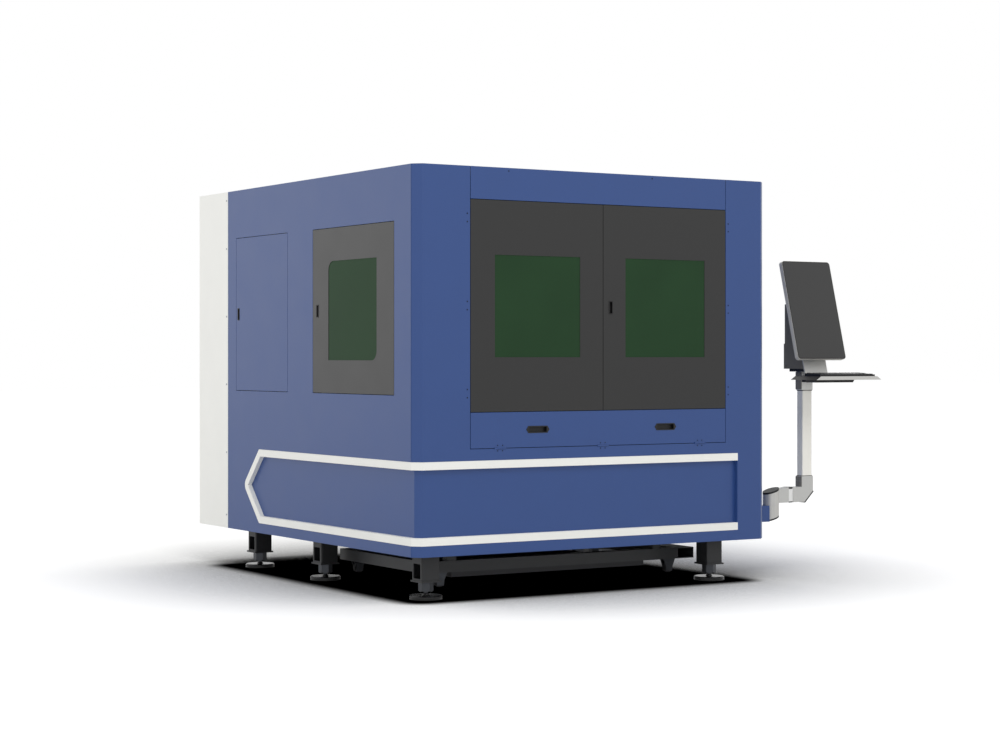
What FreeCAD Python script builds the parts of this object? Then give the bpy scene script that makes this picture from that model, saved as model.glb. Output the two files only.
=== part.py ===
import FreeCAD, Part
import math
import os
from FreeCAD import Vector

# Enclosed fiber laser cutting machine: a blue sheet-steel cabin with a white
# equipment cabinet behind it, a welded bed on six levelling feet, a gantry with
# a cutting head over a slatted table, and an operator arm on the right side.
#
# Everything is laid out in millimetres from the cabin's front left bottom corner:
# X to the right along the front, Y to the back, Z up from the floor. write_parts()
# moves it all so that the origin is under the middle of the whole machine.

# ---- cabin --------------------------------------------------------------------
CABIN_WIDTH = 2135.0
CABIN_DEPTH = 2133.0
CABIN_BOTTOM = 214.0
CABIN_TOP = 2099.0
SHEET = 2.0
CORNER_FACET = 40.0          # 45 degree fold at the two front corners
BEND_RADIUS = 6.0            # outside radius of the corner folds
SEAM = 3.0                   # gap between neighbouring panels
EDGE_RETURN = 20.0           # folded edges that stiffen a panel
JAMB_RETURN = 7.0            # folded edge round a door opening
FACE_OFFSET = 1.5            # how far trim and handle rims stand off the sheet

# ---- white trim band and the recess between its two arms ---------------------------
BAND_RISE = 54.0             # from the cabin's lower edge to the band's
BAND_HEIGHT = 402.0          # over both arms
BAND_WIDTH = 38.5
BAND_RIGHT_INSET = 195.0
ARROW_TIP_INSET = 211.0      # from the back of the cabin
ARROW_LENGTH = 195.0
ARROW_TIP_RADIUS = 40.0
RECESS_DEPTH = 22.0
BAND_GAP = 0.5

# ---- front doors, header and flap ---------------------------------------------
DOORWAY_LEFT_INSET = 306.0
DOORWAY_RIGHT_INSET = 275.0
SPLIT_SHIFT = 2.0            # the doors meet a little right of the doorway's middle
FLAP_RISE = 58.0             # from the band up to the flap
FLAP_HEIGHT = 177.0
HEADER_HEIGHT = 159.0
DOOR_DEPTH = 25.0            # depth of a door's folded pan
FRONT_WINDOW = 500.0
PANE_THICKNESS = 5.0
PANE_LAP = 15.0
FRONT_PULL_INSET = 45.5      # from the meeting edge to the middle of the pull

# ---- doors in the left side ----------------------------------------------------
SIDE_DOOR_INSET = 210.0
SIDE_DOOR_WIDTH = 870.0
SIDE_DOORS_SPACING = 297.0
SERVICE_DOOR_INSET = 111.0   # from the back of the cabin
SIDE_DOORS_RISE = 83.0       # their lower edge above the front doors'
SIDE_DOORS_DROP = 266.0      # their upper edge below the roof
SIDE_WINDOW_WIDTH = 517.0
SIDE_WINDOW_HEIGHT = 507.0
SIDE_WINDOW_RADIUS = 50.0
SIDE_PULL_INSET = 52.0
SERVICE_PULL_INSET = 29.0

# ---- flush pulls ----------------------------------------------------------------
PULL_WIDTH = 25.0
PULL_HEIGHT = 67.0
PULL_DEPTH = 14.0
PULL_RIM = 3.0
PULL_WALL = 1.5
PULL_FIT = 0.3
FLAP_PULL_WIDTH = 112.0
FLAP_PULL_EAR = 12.0
FLAP_PULL_HEIGHT = 35.0
FLAP_PULL_DEPTH = 18.0
FLAP_PULL_SPREAD = 778.0     # between the middles of the two pulls

# ---- concealed gooseneck hinges ----------------------------------------------------
HINGE_OFFSET = 40.0          # pin axis beyond the door's edge
HINGE_DEPTH = 14.0           # pin axis behind the outer face
HINGE_PIN_RADIUS = 4.0
HINGE_FIT = 0.05
KNUCKLE_RADIUS = 7.5
KNUCKLE_HEIGHT = 30.0
HINGE_EAR = 5.0
HINGE_PLAY = 0.5
HINGE_STRAP = 5.0
HINGE_REACH = 45.0           # how far the gooseneck goes in behind the pin
HINGE_FOOT = 40.0
HINGE_EDGE = 90.0            # from the door's top or bottom edge to a hinge

# ---- flap hinges on the seam -------------------------------------------------------
FLAP_KNUCKLE_RADIUS = 4.5
FLAP_PIN_RADIUS = 2.5
FLAP_KNUCKLE_LENGTH = 22.0
FLAP_HINGE_EDGE = 169.0      # from the flap's end to its outer hinges

# ---- white equipment cabinet --------------------------------------------------------
REAR_DEPTH = 391.0
REAR_DOORWAY_INSET = 120.0
REAR_DOORWAY_RISE = 116.0
REAR_DOORWAY_DROP = 119.0

# ---- bed, legs and feet ---------------------------------------------------------------
LEG = 100.0
LEG_WALL = 8.0
LEG_CORNER = 8.0
LEG_LEFT_INSET = 135.0
LEG_RIGHT_INSET = 280.0
LEG_FRONT_INSET = 135.0
LEG_MIDDLE_INSET = 1200.0
LEG_REAR_INSET = 133.0
LEG_BOTTOM = 91.0
LEG_PLATE = 110.0
LEG_PLATE_THICKNESS = 8.0
LEG_WINDOW_WIDTH = 67.0
LEG_WINDOW_RISE = 9.0
LEG_WINDOW_HEIGHT = 72.0
SIDE_BEAM_BOTTOM = 550.0
SIDE_BEAM_HEIGHT = 150.0
CROSS_BEAM = 80.0
TIE_HEIGHT = 60.0
TIE_BOTTOM = 260.0
PAD_RADIUS = 80.0
PAD_HEIGHT = 20.0
PAD_RIM = 5.0
PAD_GROOVE = 4.0
PAD_HUB_RADIUS = 18.0
PAD_HUB_HEIGHT = 8.0
STUD_RADIUS = 10.0
STUD_RISE = 59.0             # how far a stud goes up into its leg
STUD_FIT = 0.2
NUT_ACROSS_FLATS = 64.0
NUT_HEIGHT = 47.0
NUT_CHAMFER = 5.0

# ---- transport frame, castors and scrap tray under the bed ---------------------------
RING_LEFT = 237.0
RING_FRONT = 317.0
RING_BOTTOM = 100.0
RING_HEIGHT = 57.0
RING_TUBE = 60.0
RING_END_TUBE = 108.0        # the wide tube that closes the ring at its right end
RING_PAST_LEG = 35.0         # how far that tube reaches past the right legs' middle
HANGER = 50.0
HANGER_INSET = 95.0
CASTOR_INSET = 94.0
CASTOR_RIGHT_INSET = 43.0
CASTOR_TOP_WIDTH = 76.0
CASTOR_BOTTOM_WIDTH = 40.0
CASTOR_DROP = 45.0           # from the ring's underside to the axle
CASTOR_AXLE_RADIUS = 5.0
WHEEL_RADIUS = 27.0
WHEEL_WIDTH = 24.0
WHEEL_FIT = 0.06
FORK_PLATE = 4.0
FORK_GAP = 1.0
TRAY_LEFT_INSET = 148.0
TRAY_RIGHT_INSET = 222.0
TRAY_BACK_INSET = 130.0
TRAY_DEPTH = 24.0

# ---- inner tube frame of the cabin ---------------------------------------------------
POST = 40.0
POST_FRONT = 50.0            # front faces of the two front posts
SIDE_RAIL = 60.0
MIDDLE_POST_GAP = 70.0       # from the window door's back edge to the middle post

# ---- slatted table ----------------------------------------------------------------------
TABLE_SIDE_GAP = 110.0       # from the rails' middle to the table's side
TABLE_FRONT = 190.0
TABLE_BACK_INSET = 523.0
TABLE_TUBE = 50.0
TABLE_HEIGHT = 90.0
SLAT_HEIGHT = 110.0
SLAT_THICKNESS = 4.0
SLAT_COUNT = 16
SLAT_TEETH = 14
SLAT_TOOTH_HEIGHT = 26.0
SLAT_FIT = 0.5
SLAT_SEAT = 20.0

# ---- gantry, carriage and cutting head ------------------------------------------------
RAIL_WIDTH = 20.0
RAIL_HEIGHT = 18.0
RAIL_FRONT = 110.0
RAIL_PAST_LEG = 45.0
RACK_WIDTH = 18.0
RACK_HEIGHT = 20.0
BLOCK_WIDTH = 56.0
BLOCK_LENGTH = 70.0
BLOCK_HEIGHT = 30.0
BLOCK_LIFT = 6.0
SLIDE_FIT = 0.3
GANTRY_INSET = 243.0         # from the back of the cabin to the parked gantry's middle
TOWER_LENGTH = 240.0
TOWER_WIDTH = 80.0
GANTRY_LIFT = 230.0          # from the bed's top to the underside of the beam
BEAM_HEIGHT = 130.0
BEAM_DEPTH = 150.0
BEAM_WALL = 8.0
BEAM_RAIL = 15.0
BEAM_RAIL_EDGE = 25.0
CARRIAGE_INSET = 210.0       # from the left rail to the parked carriage's middle
CARRIAGE_WIDTH = 170.0
CARRIAGE_PLATE = 14.0
SLIDE_PLATE_WIDTH = 110.0
SLIDE_PLATE = 12.0
SLIDE_PLATE_HEIGHT = 190.0
HEAD_WIDTH = 84.0
HEAD_DEPTH = 92.0
HEAD_HEIGHT = 210.0
HEAD_EDGE = 8.0
HEAD_LIFT = 70.0
HEAD_CLEARANCE = 70.0        # from the slats' tips up to the parked nozzle
NOZZLE_LENGTH = 34.0
NOZZLE_TIP_RADIUS = 4.0
NOZZLE_TOP_RADIUS = 15.0
NOZZLE_BORE = 1.5
MOTOR_SIDE = 60.0
MOTOR_LENGTH = 120.0
MOTOR_GAP = 2.0
PINION_RADIUS = 24.0
PINION_HEIGHT = 14.0
PINION_FIT = 0.3

# ---- exhaust collar on the right side ---------------------------------------------------
EXHAUST_RADIUS = 100.0
EXHAUST_WALL = 2.0
EXHAUST_LENGTH = 80.0
EXHAUST_FLANGE = 25.0
EXHAUST_INSET = 353.0        # from the back of the cabin
EXHAUST_RISE = 256.0         # from the cabin's lower edge

# ---- equipment in the rear cabinet --------------------------------------------------------
SOURCE_SIZE = (486.0, 300.0, 560.0)
SOURCE_LEFT = 260.0
DRIVE_SIZE = (90.0, 150.0, 260.0)
DRIVE_COUNT = 5
DRIVE_PITCH = 120.0
DRIVE_LEFT = 1050.0
DRIVE_RISE = 936.0
EQUIPMENT_EDGE = 6.0
CASE_WALL = 3.0

# ---- operator arm ------------------------------------------------------------------------------
ARM_Y = 166.0
ARM_BRACKET_WIDTH = 60.0
ARM_BRACKET_BOTTOM = 288.0
ARM_BRACKET_HEIGHT = 86.0
PIVOT_REACH = 161.0          # from the cabin's side to the pivot's axis
PIVOT_RADIUS = 44.0
PIVOT_RISE = 15.0            # the slanted lower end, at the axis, above the bracket's underside
PIVOT_STUB = 3.0             # the fixed half above the bracket's top
PIVOT_HEIGHT = 69.0          # the turning half, at the axis
PIVOT_SLOPE = 18.0           # degrees that the two end faces lean
PIVOT_GAP = 0.4
PIVOT_CAP = 10.0
SPINDLE_RADIUS = 12.0
SPINDLE_FIT = 0.05
SPINDLE_RISE = 50.0
CAP_THICKNESS = 5.0
ARM_LIFT = 9.0               # the arm's underside above the pivot's split
ARM_TUBE = 52.0              # front to back
ARM_HEIGHT = 82.0
ARM_NECK_REACH = 104.0
ARM_SLEEVE = 30.0
ARM_SLEEVE_WASTE = 3.0
ARM_CHAMFER_X = 60.0
ARM_CHAMFER_Z = 60.0
ARM_COVER = 7.0
ELBOW_WIDTH = 78.0
ELBOW_REACH = 100.0          # from the sleeve to the mast's axis
ELBOW_RISE = 140.0
MAST_WIDTH = 66.0
MAST_DEPTH = 48.0
MAST_LENGTH = 468.0
COLLAR_GAP = 0.4
COLLAR_HEIGHT = 99.6
TRAY_WIDTH = 450.0
TRAY_LENGTH = 212.0
TRAY_END_SLOPE = 30.0        # how far either end leans in over the tray's height
TRAY_REACH = 369.0           # from the mast's axis to the tray's front edge
TRAY_RISE = 58.0             # the tray's underside above the mast's top
TRAY_THICKNESS = 19.0
TRAY_WALL = 3.0
TRAY_SUPPORT = 15.0
TRAY_SUPPORT_WIDTH = 280.0
TRAY_SUPPORT_BEVEL = 12.0
TRAY_SUPPORT_REACH = 251.0
TRAY_SUPPORT_LENGTH = 80.0
KEYBOARD_WIDTH = 378.0
KEYBOARD_LENGTH = 128.0
KEYBOARD_FRONT_HEIGHT = 9.0
KEYBOARD_BACK_HEIGHT = 16.0
KEYBOARD_SET_BACK = 12.0

# ---- screen and its mount ------------------------------------------------------------------------
SCREEN_WIDTH = 334.0
SCREEN_LENGTH = 550.0
SCREEN_RIM = 36.0            # border of the case that is thinner than its back
SCREEN_THICKNESS = 38.0
SCREEN_EDGE = 25.0           # thickness of that border
SCREEN_CORNER = 18.0
SCREEN_RISE = 110.0          # the screen's lower edge above the tray's underside
SCREEN_REACH = 151.0         # from the mast's axis to that edge
SCREEN_LEAN = 15.0
SCREEN_GAP = 30.0            # from the screen's back to the neck
SCREEN_PIVOT_RISE = 255.0
NECK_THICKNESS = 6.0
MOUNT_PLATE = 15.0
MOUNT_PLATE_WIDTH = 146.0
MOUNT_PLATE_BACK = 38.0      # from the mast's axis to the plate's rear edge
MOUNT_WIDTH = 158.0
MOUNT_HEIGHT = 137.0
MOUNT_BACK = 79.0            # from the mast's axis to the mount's rear face
MOUNT_WALL = 3.0
COLUMN_STEP = 8.0            # the column's rear face in front of the box's
COLUMN_HEIGHT = 215.0
LUG_WIDTH = 88.0
LUG_PLAY = 1.0
LUG_DEPTH = 18.0             # the tilt axis behind the column's front face
TILT_PIN_RADIUS = 8.0
TILT_FIT = 0.05

# ---- values that follow from the sizes above ----------------------------------------------
GAP = SEAM / 2
CABINET_BACK = CABIN_DEPTH + REAR_DEPTH
ROOF_UNDERSIDE = CABIN_TOP - SHEET
FLOOR_RAIL_TOP = CABIN_BOTTOM + SHEET + POST
POST_INSET = RECESS_DEPTH + SHEET
BAND_BOTTOM = CABIN_BOTTOM + BAND_RISE
BAND_TOP = BAND_BOTTOM + BAND_HEIGHT
BAND_MIDDLE = (BAND_BOTTOM + BAND_TOP) / 2
BAND_RIGHT = CABIN_WIDTH - BAND_RIGHT_INSET
ARROW_TIP = CABIN_DEPTH - ARROW_TIP_INSET
DOORWAY_LEFT = DOORWAY_LEFT_INSET
DOORWAY_RIGHT = CABIN_WIDTH - DOORWAY_RIGHT_INSET
DOOR_SPLIT = (DOORWAY_LEFT + DOORWAY_RIGHT) / 2 + SPLIT_SHIFT
FLAP_BOTTOM = BAND_TOP + FLAP_RISE
DOOR_BOTTOM = FLAP_BOTTOM + FLAP_HEIGHT
DOOR_TOP = CABIN_TOP - HEADER_HEIGHT
SIDE_DOOR_FRONT = SIDE_DOOR_INSET
SIDE_DOOR_BACK = SIDE_DOOR_FRONT + SIDE_DOOR_WIDTH
SERVICE_DOOR_FRONT = SIDE_DOOR_BACK + SIDE_DOORS_SPACING
SERVICE_DOOR_BACK = CABIN_DEPTH - SERVICE_DOOR_INSET
SIDE_DOORS_BOTTOM = DOOR_BOTTOM + SIDE_DOORS_RISE
SIDE_DOORS_TOP = CABIN_TOP - SIDE_DOORS_DROP
MIDDLE_POST_Y = SIDE_DOOR_BACK + MIDDLE_POST_GAP
REAR_DOORWAY_BOTTOM = CABIN_BOTTOM + REAR_DOORWAY_RISE
REAR_DOORWAY_TOP = CABIN_TOP - REAR_DOORWAY_DROP
LEG_X = (LEG_LEFT_INSET, CABIN_WIDTH - LEG_RIGHT_INSET)
LEG_Y = (LEG_FRONT_INSET, LEG_MIDDLE_INSET, CABIN_DEPTH - LEG_REAR_INSET)
NUT_TOP = LEG_BOTTOM - LEG_PLATE_THICKNESS
BED_TOP = SIDE_BEAM_BOTTOM + SIDE_BEAM_HEIGHT
CROSS_TOP = SIDE_BEAM_BOTTOM + CROSS_BEAM
RING_TOP = RING_BOTTOM + RING_HEIGHT
RING_RIGHT = LEG_X[1] + RING_PAST_LEG - RING_END_TUBE
RING_BACK = LEG_Y[1] + RING_TUBE / 2
CASTOR_AXLE_Z = RING_BOTTOM - CASTOR_DROP
TABLE_LEFT = LEG_X[0] + TABLE_SIDE_GAP
TABLE_RIGHT = LEG_X[1] - TABLE_SIDE_GAP
TABLE_BACK = CABIN_DEPTH - TABLE_BACK_INSET
SLAT_BOTTOM = CROSS_TOP + TABLE_HEIGHT
SLAT_TOP = SLAT_BOTTOM + SLAT_HEIGHT
RAIL_BACK = LEG_Y[2] + RAIL_PAST_LEG
BLOCK_TOP = BED_TOP + BLOCK_LIFT + BLOCK_HEIGHT
GANTRY_Y = CABIN_DEPTH - GANTRY_INSET
BEAM_BOTTOM = BED_TOP + GANTRY_LIFT
CARRIAGE_X = LEG_X[0] + CARRIAGE_INSET
NOZZLE_TIP_Z = SLAT_TOP + HEAD_CLEARANCE
EXHAUST_Y = CABIN_DEPTH - EXHAUST_INSET
EXHAUST_Z = CABIN_BOTTOM + EXHAUST_RISE
DRIVE_BOTTOM = CABIN_BOTTOM + DRIVE_RISE
PIVOT_X = CABIN_WIDTH + PIVOT_REACH
PIVOT_BOTTOM = ARM_BRACKET_BOTTOM + PIVOT_RISE
PIVOT_SPLIT = ARM_BRACKET_BOTTOM + ARM_BRACKET_HEIGHT + PIVOT_STUB
PIVOT_TOP = PIVOT_SPLIT + PIVOT_HEIGHT
ARM_BOTTOM = PIVOT_SPLIT + ARM_LIFT
ARM_TOP = ARM_BOTTOM + ARM_HEIGHT
ARM_NECK_X = PIVOT_X + ARM_NECK_REACH
ARM_SLEEVE_X = ARM_NECK_X + ARM_SLEEVE
MAST_X = ARM_SLEEVE_X + ELBOW_REACH
MAST_FOOT = ARM_BOTTOM + ELBOW_RISE
MAST_TOP = MAST_FOOT + MAST_LENGTH
COLLAR_TOP = MAST_TOP + COLLAR_GAP + COLLAR_HEIGHT
TRAY_BOTTOM = MAST_TOP + TRAY_RISE
TRAY_FRONT_Y = ARM_Y - TRAY_REACH
SCREEN_BOTTOM = TRAY_BOTTOM + SCREEN_RISE
SCREEN_FRONT_Y = ARM_Y - SCREEN_REACH
MOUNT_BOTTOM = COLLAR_TOP + MOUNT_PLATE
MOUNT_TOP = MOUNT_BOTTOM + MOUNT_HEIGHT
MOUNT_REAR = ARM_Y + MOUNT_BACK


# ---- small shape helpers ---------------------------------------------------------------------
def block(x0, x1, y0, y1, z0, z1):
    """A box between two corners."""
    return Part.makeBox(x1 - x0, y1 - y0, z1 - z0, Vector(x0, y0, z0))


def rod(radius, length, base, axis):
    """A cylinder from a base point along an axis."""
    return Part.makeCylinder(radius, length, base, axis)


def prism(points, travel):
    """A flat outline swept straight along a vector."""
    corners = [Vector(*point) for point in points]
    face = Part.Face(Part.makePolygon(corners + [corners[0]]))
    return face.extrude(travel)


def fuse(pieces):
    """One solid made of touching or overlapping pieces."""
    first, rest = pieces[0], pieces[1:]
    return first.multiFuse(rest).removeSplitter() if rest else first


def cut(shape, tools):
    """A shape with every tool taken away."""
    for tool in tools:
        shape = shape.cut(tool)
    return shape


def upright_edges(shape, where):
    """The vertical edges whose middle passes a test."""
    chosen = []
    for edge in shape.Edges:
        start, end = edge.firstVertex().Point, edge.lastVertex().Point
        middle = (start + end) * 0.5
        upright = abs(start.x - end.x) < 1e-6 and abs(start.y - end.y) < 1e-6
        if upright and where(middle):
            chosen.append(edge)
    return chosen


def square_tube(x0, x1, y0, y1, z0, z1, wall, along):
    """A hollow rectangular tube, open at both ends of the axis 'along'."""
    outer = block(x0, x1, y0, y1, z0, z1)
    inset = {axis: 0.0 if axis == along else wall for axis in "xyz"}
    inner = block(x0 + inset["x"], x1 - inset["x"], y0 + inset["y"], y1 - inset["y"],
                  z0 + inset["z"], z1 - inset["z"])
    return outer.cut(inner)


# ---- doors -----------------------------------------------------------------------------------
# A door is made as seen from outside: u to the right from its left edge, v inwards from
# its outer face, w up from its bottom edge. place_on_left() and place_on_back() then
# turn it to the side of the machine where it belongs.

def hinge_heights(height):
    """Three hinges, two near the ends and one in the middle."""
    return (HINGE_EDGE, height / 2, height - HINGE_EDGE)


def gooseneck(middle):
    """The door's half of a hinge: knuckle, strap round the jamb, and foot on the sheet."""
    low, high = middle - KNUCKLE_HEIGHT / 2, middle + KNUCKLE_HEIGHT / 2
    half = HINGE_STRAP / 2
    reach = HINGE_DEPTH + HINGE_REACH
    door_leg = HINGE_FOOT / 2
    knuckle = rod(KNUCKLE_RADIUS, KNUCKLE_HEIGHT, Vector(-HINGE_OFFSET, HINGE_DEPTH, low),
                  Vector(0, 0, 1))
    inward = block(-HINGE_OFFSET - half, -HINGE_OFFSET + half, HINGE_DEPTH, reach, low, high)
    across = block(-HINGE_OFFSET - half, door_leg + HINGE_STRAP, reach, reach + HINGE_STRAP,
                   low, high)
    outward = block(door_leg, door_leg + HINGE_STRAP, SHEET, reach, low, high)
    foot = block(door_leg, door_leg + HINGE_FOOT, SHEET, SHEET + HINGE_STRAP, low, high)
    arm = fuse([knuckle, inward, across, outward, foot])
    bore = rod(HINGE_PIN_RADIUS + HINGE_FIT, KNUCKLE_HEIGHT,
               Vector(-HINGE_OFFSET, HINGE_DEPTH, low), Vector(0, 0, 1))
    return arm.cut(bore)


def hinge_bracket(middle):
    """The jamb's half of a hinge: a plate on the sheet, two ears and the riveted pin."""
    half = KNUCKLE_HEIGHT / 2 + HINGE_PLAY
    low, high = middle - half - HINGE_EAR, middle + half + HINGE_EAR
    left = -HINGE_OFFSET - KNUCKLE_RADIUS - HINGE_FOOT / 2
    right = -HINGE_OFFSET + KNUCKLE_RADIUS
    plate = block(left, right, SHEET, SHEET + HINGE_EAR / 2, low, high)
    lugs = []
    for bottom in (low, high - HINGE_EAR):
        lugs.append(block(-HINGE_OFFSET - KNUCKLE_RADIUS, right, SHEET, HINGE_DEPTH,
                          bottom, bottom + HINGE_EAR))
        lugs.append(rod(KNUCKLE_RADIUS, HINGE_EAR, Vector(-HINGE_OFFSET, HINGE_DEPTH, bottom),
                        Vector(0, 0, 1)))
    pin = rod(HINGE_PIN_RADIUS, high - low, Vector(-HINGE_OFFSET, HINGE_DEPTH, low),
              Vector(0, 0, 1))
    return fuse([plate, pin] + lugs)


def mirrored(shape, width):
    """The same thing with its hinge side on the right instead of the left."""
    return shape.mirror(Vector(width / 2, 0, 0), Vector(1, 0, 0))


def pull_opening(middle_u, middle_w, width, height, depth):
    """The hole that a flush pull's cup drops into."""
    return block(middle_u - width / 2, middle_u + width / 2, -1, depth,
                 middle_w - height / 2, middle_w + height / 2)


def door_leaf(width, height, hinge_on_right, window, pull):
    """A folded sheet pan with its hinge arms, and holes for a window and a pull."""
    pan = block(0, width, 0, DOOR_DEPTH, 0, height)
    pan = pan.cut(block(SHEET, width - SHEET, SHEET, DOOR_DEPTH + 1, SHEET, height - SHEET))
    arms = [gooseneck(middle) for middle in hinge_heights(height)]
    if hinge_on_right:
        arms = [mirrored(arm, width) for arm in arms]
    leaf = fuse([pan] + arms)
    return cut(leaf, [tool for tool in (window, pull) if tool is not None])


def window_opening(width, height, door_width, door_height, radius):
    """A window cut in the middle of a door, with one pair of opposite corners rounded."""
    left, bottom = (door_width - width) / 2, (door_height - height) / 2
    hole = block(left, left + width, -1, SHEET + 1, bottom, bottom + height)
    if not radius:
        return hole
    rounded = []
    for edge in hole.Edges:
        middle = edge.BoundBox.Center
        through = edge.BoundBox.YLength > SHEET
        top_left = middle.x < door_width / 2 and middle.z > door_height / 2
        bottom_right = middle.x > door_width / 2 and middle.z < door_height / 2
        if through and (top_left or bottom_right):
            rounded.append(edge)
    return hole.makeFillet(radius, rounded)


def window_pane(width, height, door_width, door_height):
    """The dark green laser safety pane that laps the window behind the door's sheet."""
    left = (door_width - width) / 2 - PANE_LAP
    bottom = (door_height - height) / 2 - PANE_LAP
    return block(left, left + width + 2 * PANE_LAP, SHEET, SHEET + PANE_THICKNESS,
                 bottom, bottom + height + 2 * PANE_LAP)


def flush_pull(middle_u, middle_w):
    """A black moulded pull: a rim on the sheet round a cup for the fingers."""
    rim = block(-PULL_WIDTH / 2, PULL_WIDTH / 2, -FACE_OFFSET, 0,
                -PULL_HEIGHT / 2, PULL_HEIGHT / 2)
    rim = rim.makeFillet(PULL_RIM, [edge for edge in rim.Edges
                                    if edge.BoundBox.YLength > FACE_OFFSET / 2])
    cup_width, cup_height = PULL_WIDTH - 2 * PULL_RIM, PULL_HEIGHT - 2 * PULL_RIM
    cup = pull_box(cup_width, cup_height, 0, PULL_DEPTH)
    hollow = pull_box(cup_width - 2 * PULL_WALL, cup_height - 2 * PULL_WALL,
                      -FACE_OFFSET - 1, PULL_DEPTH - PULL_WALL)
    pull = fuse([rim, cup]).cut(hollow)
    return pull.translated(Vector(middle_u, 0, middle_w))


def pull_box(width, height, front, back):
    """A box centred on a pull's middle, between two depths."""
    return block(-width / 2, width / 2, front, back, -height / 2, height / 2)


def pull_hole(middle_u, middle_w):
    """The hole in a door's sheet for one flush pull."""
    return pull_opening(middle_u, middle_w, PULL_WIDTH - 2 * PULL_RIM + 2 * PULL_FIT,
                        PULL_HEIGHT - 2 * PULL_RIM + 2 * PULL_FIT, SHEET + 1)


def flap_pull(middle_u, middle_w):
    """A wide black pull whose rim ends in a point at each side."""
    half, tip = FLAP_PULL_WIDTH / 2, FLAP_PULL_WIDTH / 2 + FLAP_PULL_EAR
    top = FLAP_PULL_HEIGHT / 2
    rim = prism([(-half, -FACE_OFFSET, -top), (half, -FACE_OFFSET, -top),
                 (tip, -FACE_OFFSET, 0), (half, -FACE_OFFSET, top),
                 (-half, -FACE_OFFSET, top), (-tip, -FACE_OFFSET, 0)],
                Vector(0, FACE_OFFSET, 0))
    cup_width, cup_height = FLAP_PULL_WIDTH - 2 * PULL_RIM, FLAP_PULL_HEIGHT - 2 * PULL_RIM
    cup = pull_box(cup_width, cup_height, 0, FLAP_PULL_DEPTH)
    hollow = pull_box(cup_width - 2 * PULL_WALL, cup_height - 2 * PULL_WALL,
                      -FACE_OFFSET - 1, FLAP_PULL_DEPTH - PULL_WALL)
    return fuse([rim, cup]).cut(hollow).translated(Vector(middle_u, 0, middle_w))


def place_on_front(shape, left, bottom):
    return shape.translated(Vector(left, 0, bottom))


def place_on_left(shape, back, bottom):
    """Seen from the left side, u runs from a door's back edge to its front edge."""
    turned = shape.rotated(Vector(0, 0, 0), Vector(0, 0, 1), -90)
    return turned.translated(Vector(0, back, bottom))


def place_on_back(shape, right, bottom):
    """Seen from behind, u runs from a door's right edge to its left edge."""
    turned = shape.rotated(Vector(0, 0, 0), Vector(0, 0, 1), 180)
    return turned.translated(Vector(right, CABINET_BACK, bottom))


class Door:
    """One hinged leaf: where it hangs, how large it is, and which side its hinges are on."""

    def __init__(self, place, start, width, bottom, top, hinge_on_right):
        self.place = place
        self.start = start
        self.width = width - SEAM
        self.bottom = bottom + GAP
        self.height = top - bottom - SEAM
        self.hinge_on_right = hinge_on_right

    def put(self, shape):
        return self.place(shape, self.start, self.bottom)

    def leaf(self, window, pull):
        return self.put(door_leaf(self.width, self.height, self.hinge_on_right, window, pull))

    def brackets(self):
        pieces = []
        for middle in hinge_heights(self.height):
            piece = hinge_bracket(middle)
            if self.hinge_on_right:
                piece = mirrored(piece, self.width)
            pieces.append(self.put(piece))
        return pieces


FRONT_LEFT = Door(place_on_front, DOORWAY_LEFT + GAP, DOOR_SPLIT - DOORWAY_LEFT,
                  DOOR_BOTTOM, DOOR_TOP, False)
FRONT_RIGHT = Door(place_on_front, DOOR_SPLIT + GAP, DOORWAY_RIGHT - DOOR_SPLIT,
                   DOOR_BOTTOM, DOOR_TOP, True)
SIDE = Door(place_on_left, SIDE_DOOR_BACK - GAP, SIDE_DOOR_BACK - SIDE_DOOR_FRONT,
            SIDE_DOORS_BOTTOM, SIDE_DOORS_TOP, True)
SERVICE = Door(place_on_left, SERVICE_DOOR_BACK - GAP, SERVICE_DOOR_BACK - SERVICE_DOOR_FRONT,
               SIDE_DOORS_BOTTOM, SIDE_DOORS_TOP, True)
REAR_SPLIT = CABIN_WIDTH / 2
REAR_RIGHT = Door(place_on_back, CABIN_WIDTH - REAR_DOORWAY_INSET - GAP,
                  REAR_SPLIT - REAR_DOORWAY_INSET, REAR_DOORWAY_BOTTOM, REAR_DOORWAY_TOP, False)
REAR_LEFT = Door(place_on_back, REAR_SPLIT - GAP, REAR_SPLIT - REAR_DOORWAY_INSET,
                 REAR_DOORWAY_BOTTOM, REAR_DOORWAY_TOP, True)


def front_doors():
    """Two dark leaves with square windows; the pull is on the right one."""
    parts = {}
    for side, door in (("left", FRONT_LEFT), ("right", FRONT_RIGHT)):
        window = window_opening(FRONT_WINDOW, FRONT_WINDOW, door.width, door.height, 0)
        pull = None
        if side == "right":
            pull = pull_hole(FRONT_PULL_INSET, door.height / 2)
            parts["front_door_pull"] = door.put(flush_pull(FRONT_PULL_INSET, door.height / 2))
        parts["front_door_" + side] = door.leaf(window, pull)
        parts["front_window_" + side] = door.put(
            window_pane(FRONT_WINDOW, FRONT_WINDOW, door.width, door.height))
    return parts


def side_doors():
    """The grey window door and the blue service door in the left side."""
    window = window_opening(SIDE_WINDOW_WIDTH, SIDE_WINDOW_HEIGHT, SIDE.width, SIDE.height,
                            SIDE_WINDOW_RADIUS)
    side_pull = (SIDE_PULL_INSET, SIDE.height / 2)
    service_pull = (SERVICE_PULL_INSET, SERVICE.height / 2)
    return {
        "side_door": SIDE.leaf(window, pull_hole(*side_pull)),
        "side_window": SIDE.put(window_pane(SIDE_WINDOW_WIDTH, SIDE_WINDOW_HEIGHT,
                                            SIDE.width, SIDE.height)),
        "side_door_pull": SIDE.put(flush_pull(*side_pull)),
        "service_door": SERVICE.leaf(None, pull_hole(*service_pull)),
        "service_door_pull": SERVICE.put(flush_pull(*service_pull)),
    }


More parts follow.
